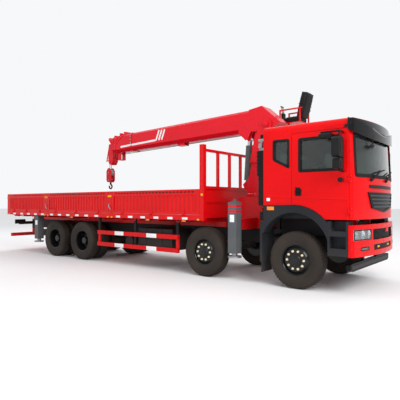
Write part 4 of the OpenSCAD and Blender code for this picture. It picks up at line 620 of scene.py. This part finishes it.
# Arches and steps: dark grey moulded flares round the front wheels, with step plates, a marker lamp on the flare
# and a rubber flap behind the tyre.
flare_plastic = finish("dark_grey_moulded_plastic", "1F2124", "282A2E", 4.5, 0.55, 0.15, ("6B6055", 0.35, 0.9))
wear(flare_plastic, "fenders")
ARCH_X, ARCH_Z = 4.69, 0.7205
corner_x = np.linspace(4.062, ARCH_X, 16)
corner_low = np.maximum(ARCH_Z + np.sqrt(np.maximum(0.80 ** 2 - (corner_x - ARCH_X) ** 2, 0.0)), 1.302)
corner_top = np.linspace(1.545, 1.556, 16)
flat = np.zeros((16, 4, 3))
flat[..., 0] = corner_x[:, None]
flat[..., 1] = [1.218, 1.234, 1.234, 1.218]
flat[..., 2] = np.stack([corner_low, corner_low, corner_top, corner_top], -1)
skin("flare_corners", flare_plastic, "chassis", [both(flat)])
# Painted shade: dark plates inboard of each front tyre and under the cab's lower edge stand in for the shade inside
# the wheel well.
skin("arch_shade_plates", flare_plastic, "chassis",
     [both(slab((1.16, 0.012, 0.34), 0.005) + [4.70, 0.59, 1.125]),
      both(slab((1.10, 0.008, 0.155), 0.003) + [ARCH_X, 0.971, 1.372])])
skin("flare_lamps", amber_lens, "chassis",
     [both(slab((0.15, 0.02, 0.07), 0.008) + [4.222, 1.236, 1.487])])
arch_turn = np.radians(np.linspace(12.0, 150.0, 40))
lip = np.stack([ARCH_X + 0.695 * np.cos(arch_turn), np.full(40, 1.233), ARCH_Z + 0.695 * np.sin(arch_turn)], -1)
skin("flare_lips", flare_plastic, "chassis",
     [both(drawn(lip, round_bar(0.02, 8), (0.0, 1.0, 0.0)))])

# Cab interior: two sprung seats in woven cloth on steel boxes, a moulded dashboard and a steering wheel on the
# left. The cushions are foam cut to shape under a sewn cover.
# Soft-touch vinyl moulding: charcoal, matt, with a leather-like grain.
dash_vinyl = finish("charcoal_moulded_vinyl", "1C1D20", "26272A", 5.0, 0.6, 0.2)
wear(dash_vinyl, "cab_interior")
# Woven seat cloth: charcoal with a grey fleck, threads about 1 mm drawn at 7 mm so that they show.
seat_cloth = finish("woven_seat_cloth", "2A2C31", "3A3D43", 7.0, 0.9, 0.5, **{"Sheen Weight": 0.3})


def pad(name, material, body, size, middle, lean, plump=0.007):
    """A cushion. A block whose cross-section is a superellipse, p = r sign(c) |c|^0.4 in each direction, is
    remeshed at 9 mm, blown up by cloth pressure with each point held to plump of travel, leant about Y and
    moved to its place."""
    u = np.linspace(-np.pi / 2, np.pi / 2, 23)[:, None]
    v = 2 * np.pi * np.arange(48)[None, :] / 48
    bulge = np.sign(np.cos(v)) * np.abs(np.cos(v)) ** 0.4, np.sign(np.sin(v)) * np.abs(np.sin(v)) ** 0.4
    ring = np.abs(np.cos(u)) ** 0.4
    shape = np.stack([ring * bulge[0], ring * bulge[1],
                      np.broadcast_to(np.sign(np.sin(u)) * np.abs(np.sin(u)) ** 0.4, (23, 48))], -1)
    piece = skin(name, material, body, [shape * np.asarray(size) / 2], sharp=180.0)
    remesh = piece.modifiers.new("even", "REMESH")
    remesh.mode, remesh.voxel_size = "VOXEL", 0.009
    even = bpy.data.meshes.new_from_object(piece.evaluated_get(bpy.context.evaluated_depsgraph_get()))
    piece.modifiers.clear()
    piece.data = even
    rest = np.array([v.co for v in even.vertices])
    cloth = piece.modifiers.new("blown", "CLOTH")
    cloth.settings.use_pressure = True
    cloth.settings.uniform_pressure_force = 4.0
    cloth.settings.effector_weights.gravity = 0.0
    for tick in range(1, 21):
        bpy.context.scene.frame_set(tick)
    blown = piece.evaluated_get(bpy.context.evaluated_depsgraph_get()).to_mesh()
    moved = np.array([v.co for v in blown.vertices]) - rest
    piece.evaluated_get(bpy.context.evaluated_depsgraph_get()).to_mesh_clear()
    piece.modifiers.clear()
    bpy.context.scene.frame_set(1)
    travel = np.maximum(np.linalg.norm(moved, axis=1, keepdims=True), 1e-9)
    even.vertices.foreach_set("co", (rest + moved * np.minimum(1.0, plump / travel)).reshape(-1))
    even.shade_smooth()
    soft = piece.modifiers.new("smooth", "SUBSURF")
    soft.levels = soft.render_levels = 1
    here = np.empty(len(piece.data.vertices) * 3)
    piece.data.vertices.foreach_get("co", here)
    turn = np.array([[math.cos(lean), 0, math.sin(lean)], [0, 1, 0], [-math.sin(lean), 0, math.cos(lean)]])
    piece.data.vertices.foreach_set("co", (here.reshape(-1, 3) @ turn.T + middle).reshape(-1))
    piece.data.update()
    seam = rounded([(-size[0] / 2, -size[1] / 2), (size[0] / 2, -size[1] / 2), (size[0] / 2, size[1] / 2),
                    (-size[0] / 2, size[1] / 2)], 0.12 * min(size[:2]))
    seam = np.insert(seam, 2, 0.0, axis=1) * [0.985, 0.985, 1.0]
    skin(name + "_piping", black_rubber, body,
         [strip(seam, (0.0, 0.0, 1.0), 0.008, 0.008) @ turn.T + middle], loop=True)


for side_name, side_y in (("r", -0.64), ("l", 0.64)):
    pad(f"cab_seat_cushion_{side_name}", seat_cloth, "chassis", (0.585, 0.545, 0.17), (4.735, side_y, 1.655), 0.0)
    pad(f"cab_seat_back_{side_name}", seat_cloth, "chassis", (0.175, 0.525, 0.80), (4.475, side_y, 2.085), -0.133)

# Intake stack and exhaust: black moulded trunking on brackets behind the cab, with plated clamps round it, a louvred
# head, and a ribbed box with its duct and plated fittings outboard on the right.
wear(black_plastic, "air_intake")
stack_x = CAB_BACK - 0.11
clamp = [(0.086, -0.012), (0.089, -0.012), (0.089, 0.012), (0.086, 0.012)]
skin("intake_clamps", zinc_plate, "chassis",
     [turned(clamp, (stack_x, -0.9, z), (0.0, 0.0, 1.0), 32) for z in (1.50, 1.92, 2.34, 2.70)])
box_x, box_y, duct_x, duct_y = 3.956, -1.02, 3.952, -1.05
skin("intake_box", black_plastic, "chassis",
     [slab((0.172, 0.27, 0.50), 0.02, 5) + [box_x, box_y, 2.372],
      slab((0.125, 0.17, 0.60), 0.02, 5) + [duct_x, duct_y, 1.84]])
skin("intake_box_ribs", black_rubber, "chassis",
     [slab((0.180, 0.278, 0.016), 0.005) + [box_x, box_y, z] for z in np.linspace(2.16, 2.58, 7)]
     + [slab((0.133, 0.178, 0.02), 0.006) + [duct_x, duct_y, z] for z in (1.60, 1.84, 2.06)])
skin("intake_fittings", zinc_plate, "chassis",
     [turned([(0.05, -0.05), (0.055, -0.045), (0.055, 0.045), (0.04, 0.055), (0.04, 0.09), (0.03, 0.1)],
             (3.93, -1.08, 2.72), (0.3, 0.0, 1.0), 24),
      turned([(0.03, -0.07), (0.034, -0.065), (0.034, 0.065), (0.02, 0.07)],
             (3.95, -1.08, 2.83), (1.0, 0.2, 0.1), 20),
      slab((0.10, 0.09, 0.06), 0.01) + [3.955, -1.07, 2.65]])
skin("intake_louvres", black_rubber, "chassis",
     [slab((0.168, 0.228, 0.012), 0.004) + [stack_x, -0.9, z] for z in np.linspace(2.78, 2.94, 6)])

# Crane base and outriggers: welded plate on the frame, the base red, the legs and the beams satin grey with two
# red bands and a blank white plate near the top of each front leg, on ground steel jack rods.
leg_top, leg_x = float(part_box("beam_r")[1][2]), 3.343
# Gloss red enamel on the base, satin grey on the legs: even coats, dusty towards the ground.
base_paint = finish("gloss_red_base_enamel", "CB0A12", "D50E16", 16.0, 0.36, 0.05, ("7A6A60", 0.4, 1.2),
                    zones=[("575B5E", 0.42, ((-4.5, -3.8), None, None))], **{"Coat Weight": 0.12})
wear(base_paint, "crane_base")
leg_paint = finish("satin_grey_leg_enamel", "53575A", "606467", 14.0, 0.42, 0.06, ("6B6055", 0.35, 1.0),
                   zones=[("D81C26", 0.36, (None, (1.0, 1.4), (leg_top - 0.10, leg_top - 0.055))),
                          ("D81C26", 0.36, (None, (1.0, 1.4), (leg_top - 0.21, leg_top - 0.165)))])
wear(leg_paint, "beam_r", "beam_l")
# Ground and oiled jack steel: bright grey with fine turning marks.
jack_steel = finish("ground_jack_steel", "8E9193", "A6A9AB", 3.0, 0.3, 0.08, ("5E554C", 0.4, 0.5), Metallic=0.9)
wear(jack_steel, "jack_fr", "jack_fl", "jack_rr", "jack_rl")
for hand, out in (("r", -1.0), ("l", 1.0)):
    skin(f"leg_plate_{hand}", reflector_white, f"beam_{hand}",
         [slab((0.11, 0.005, 0.15), 0.002) + [leg_x, out * 1.2505, leg_top - 0.33]])
    skin(f"leg_cap_{hand}", leg_paint, f"beam_{hand}",
         [slab((0.13, 0.13, 0.03), 0.012) + [leg_x, out * 1.15, leg_top + 0.008],
          turned([(0.03, 0.0), (0.03, 0.03), (0.022, 0.04), (0.008, 0.042)], (leg_x, out * 1.15, leg_top + 0.02),
                 (0.0, 0.0, 1.0), 18)])
skin("rear_leg_plates", reflector_white, "chassis",
     [both(slab((0.12, 0.005, 0.14), 0.002) + [-4.17, 1.2055, 0.98])])

# Column and luff cylinder: a welded box column in crane red, the cylinder's barrel grey and its rod hard-chromed.
# Gloss red enamel, a cooler red than the cab's; satin grey on the barrel.
crane_red = finish("gloss_red_crane_enamel", "D60B1A", "E01122", 16.0, 0.28, 0.03,
                   **{"Coat Weight": 0.12, "Coat Roughness": 0.06})
wear(crane_red, "column")
barrel_paint = finish("satin_grey_cylinder_enamel", "54585A", "5F6365", 14.0, 0.4, 0.05)
wear(barrel_paint, "luff_barrel")
# Hard chrome on the rod: a dark mirror with faint lengthwise streaks.
hard_chrome = finish("hard_chrome", "B9BDC0", "CDD0D2", 5.0, 0.12, 0.02, Metallic=1.0)
wear(hard_chrome, "luff_rod")
pin_cap = [(0.062, 0.0), (0.062, 0.012), (0.052, 0.018), (0.03, 0.02), (0.01, 0.02)]
skin("boom_pin_caps", crane_red, "column",
     [both(turned(pin_cap, (3.556, 0.259, 3.33), (0.0, 1.0, 0.0), 28))])
bolt = [(0.02, 0.0), (0.02, 0.012), (0.017, 0.015), (0.006, 0.016)]
slew_turn = 2 * np.pi * np.arange(24) / 24
slew_bolts = np.stack([3.33 + 0.325 * np.cos(slew_turn), 0.325 * np.sin(slew_turn), np.full(24, 1.79)], -1)
skin("slew_ring_bolts", zinc_plate, "column",
     [turned(bolt, (0.0, 0.0, 0.0), (0.0, 0.0, 1.0), 6) + slew_bolts[:, None, None]])

# Boom: four box sections of folded plate in crane red, nested, with collars at their mouths. White vinyl stripes
# run along the base, and the hoist rope lies below it through the guides.
# Gloss red enamel: the coolest red on the truck, with long soft highlights.
boom_paint = finish("gloss_red_boom_enamel", "D80D1E", "E21428", 16.0, 0.27, 0.03,
                    **{"Coat Weight": 0.12, "Coat Roughness": 0.06})
wear(boom_paint, "boom_base", "boom_2", "boom_3", "boom_4")
BOOM_PIN, BOOM_TILT = np.array([3.556, 0.0, 3.33]), math.radians(1.5)


def on_boom(points):
    """Points along the boom, x out from its pin, turned by the tilt: X = x cos t - z sin t, Z = x sin t + z cos t."""
    c, s = math.cos(BOOM_TILT), math.sin(BOOM_TILT)
    return np.asarray(points, float) @ np.array([[c, 0, s], [0, 1, 0], [-s, 0, c]]) + BOOM_PIN


# Cast white vinyl film: clean, slightly waxy.
white_vinyl = finish("white_vinyl_film", "E9EAEA", "F7F7F6", 12.0, 0.32, 0.05, **{"Coat Weight": 0.4})
film = np.array([(-0.5, -0.001), (0.5, -0.001), (0.5, 0.001), (-0.5, 0.001)])
stripe = np.linspace((-1.322, 0.2, 3.237), (0.12, 0.2, 3.301), 12)
bars = [np.linspace((x, 0.2, 3.292), (x + 0.115, 0.2, 3.56), 8) for x in (0.13, 0.235, 0.34)]
skin("boom_stripes", white_vinyl, "boom_base",
     [both(drawn(path, film * [0.052, 1.0], (0.0, 1.0, 0.0))) for path in [stripe] + bars]
     + [both(drawn(np.linspace((-0.906, 0.2145, 3.2555), (-0.842, 0.2145, 3.2583), 3), film * [0.052, 1.0],
                   (0.0, 1.0, 0.0)))])
# Galvanised wire rope: grey strands about 4 mm apart, lightly greased.
wire_rope = finish("galvanised_wire_rope", "6E7072", "8C8E90", 4.0, 0.45, 0.5, Metallic=0.8)
rope_run = on_boom(np.linspace((-0.62, 0.02, -0.128), (-5.12, 0.02, -0.150), 30))
skin("hoist_rope_run", wire_rope, "boom_base", [drawn(rope_run, round_bar(0.016, 8))])
boom_bolts = on_boom(np.stack([np.full(4, -4.43), np.full(4, 0.214), [0.02, 0.11, 0.20, 0.29]], -1))
skin("boom_collar_bolts", zinc_plate, "boom_base",
     [both(turned(bolt, (0.0, 0.0, 0.0), (0.0, 1.0, 0.0), 6) + boom_bolts[:, None, None])])

# Hook block: red cheek plates over a steel sheave on two falls of rope, with a forged black hook below.
# Gloss red enamel on the cheeks, bare grey steel between them, black on the hook.
hook_paint = finish("gloss_red_block_enamel", "CC0A18", "D81020", 12.0, 0.34, 0.06, zones=[
    ("8A8C8E", 0.4, (None, (-1.0, 0.0515), (2.3, 3.0))), ("8A8C8E", 0.4, (None, None, (2.665, 3.0))),
    ("161617", 0.5, (None, None, (1.9, 2.226)))], **{"Coat Weight": 0.12})
wear(hook_paint, "hook_block")
hook_x = -2.0129
skin("hook_pin_caps", zinc_plate, "hook_block",
     [both(turned(bolt, (hook_x, 0.076, z), (0.0, 1.0, 0.0), 6)) for z in (2.51, 2.29)])
latch = np.stack([hook_x + np.linspace(0.02, 0.052, 8), np.zeros(8), np.linspace(2.150, 2.085, 8)], -1)
skin("hook_latch", zinc_plate, "hook_block",
     [drawn(latch, [(0.012, -0.0015), (0.012, 0.0015), (-0.012, 0.0015), (-0.012, -0.0015)], (1.0, 0.0, 0.0))])

# Operator's seat: a red rail frame on an arm from the column, foam cushions under black vinyl, and a bank of
# steel levers with round black knobs.
# Gloss red enamel on the rails, black where the lever stand and the cushions are.
seat_paint = finish("gloss_red_seat_enamel", "D00A12", "DA0E16", 12.0, 0.32, 0.04,
                    zones=[("151516", 0.5, ((3.59, 3.64), (0.38, 0.55), (3.425, 3.68))),
                           ("1A1A1B", 0.5, ((3.68, 4.30), (0.378, 0.762), (3.421, 4.09)))], **{"Coat Weight": 0.12})
wear(seat_paint, "operator_seat")
# Black vinyl hide over foam: satin, with a pressed grain about 3 mm across drawn at 6 mm.
seat_vinyl = finish("black_vinyl_hide", "161617", "212122", 6.0, 0.5, 0.3)
pad("operator_cushion", seat_vinyl, "column", (0.40, 0.42, 0.145), (3.866, 0.57, 3.482), 0.0,
    0.006)
pad("operator_back", seat_vinyl, "column", (0.15, 0.41, 0.59), (4.101, 0.57, 3.80), 0.256,
    0.006)
lever_y = np.linspace(0.405, 0.515, 5)
for_lever = np.linspace((0.0, 0.0, 0.0), (-0.035, 0.0, 0.16), 6)
skin("lever_rods", zinc_plate, "column",
     [drawn(for_lever, round_bar(0.011, 8), (1.0, 0.0, 0.0)) + np.array([3.616, y, 3.655]) for y in lever_y])
knob = [(0.005, -0.012), (0.012, -0.008), (0.0145, 0.0), (0.012, 0.008), (0.005, 0.012)]
skin("lever_knobs", black_rubber, "column",
     [turned(knob, (3.581, y, 3.822), (-0.2, 0.0, 1.0), 16) for y in lever_y])
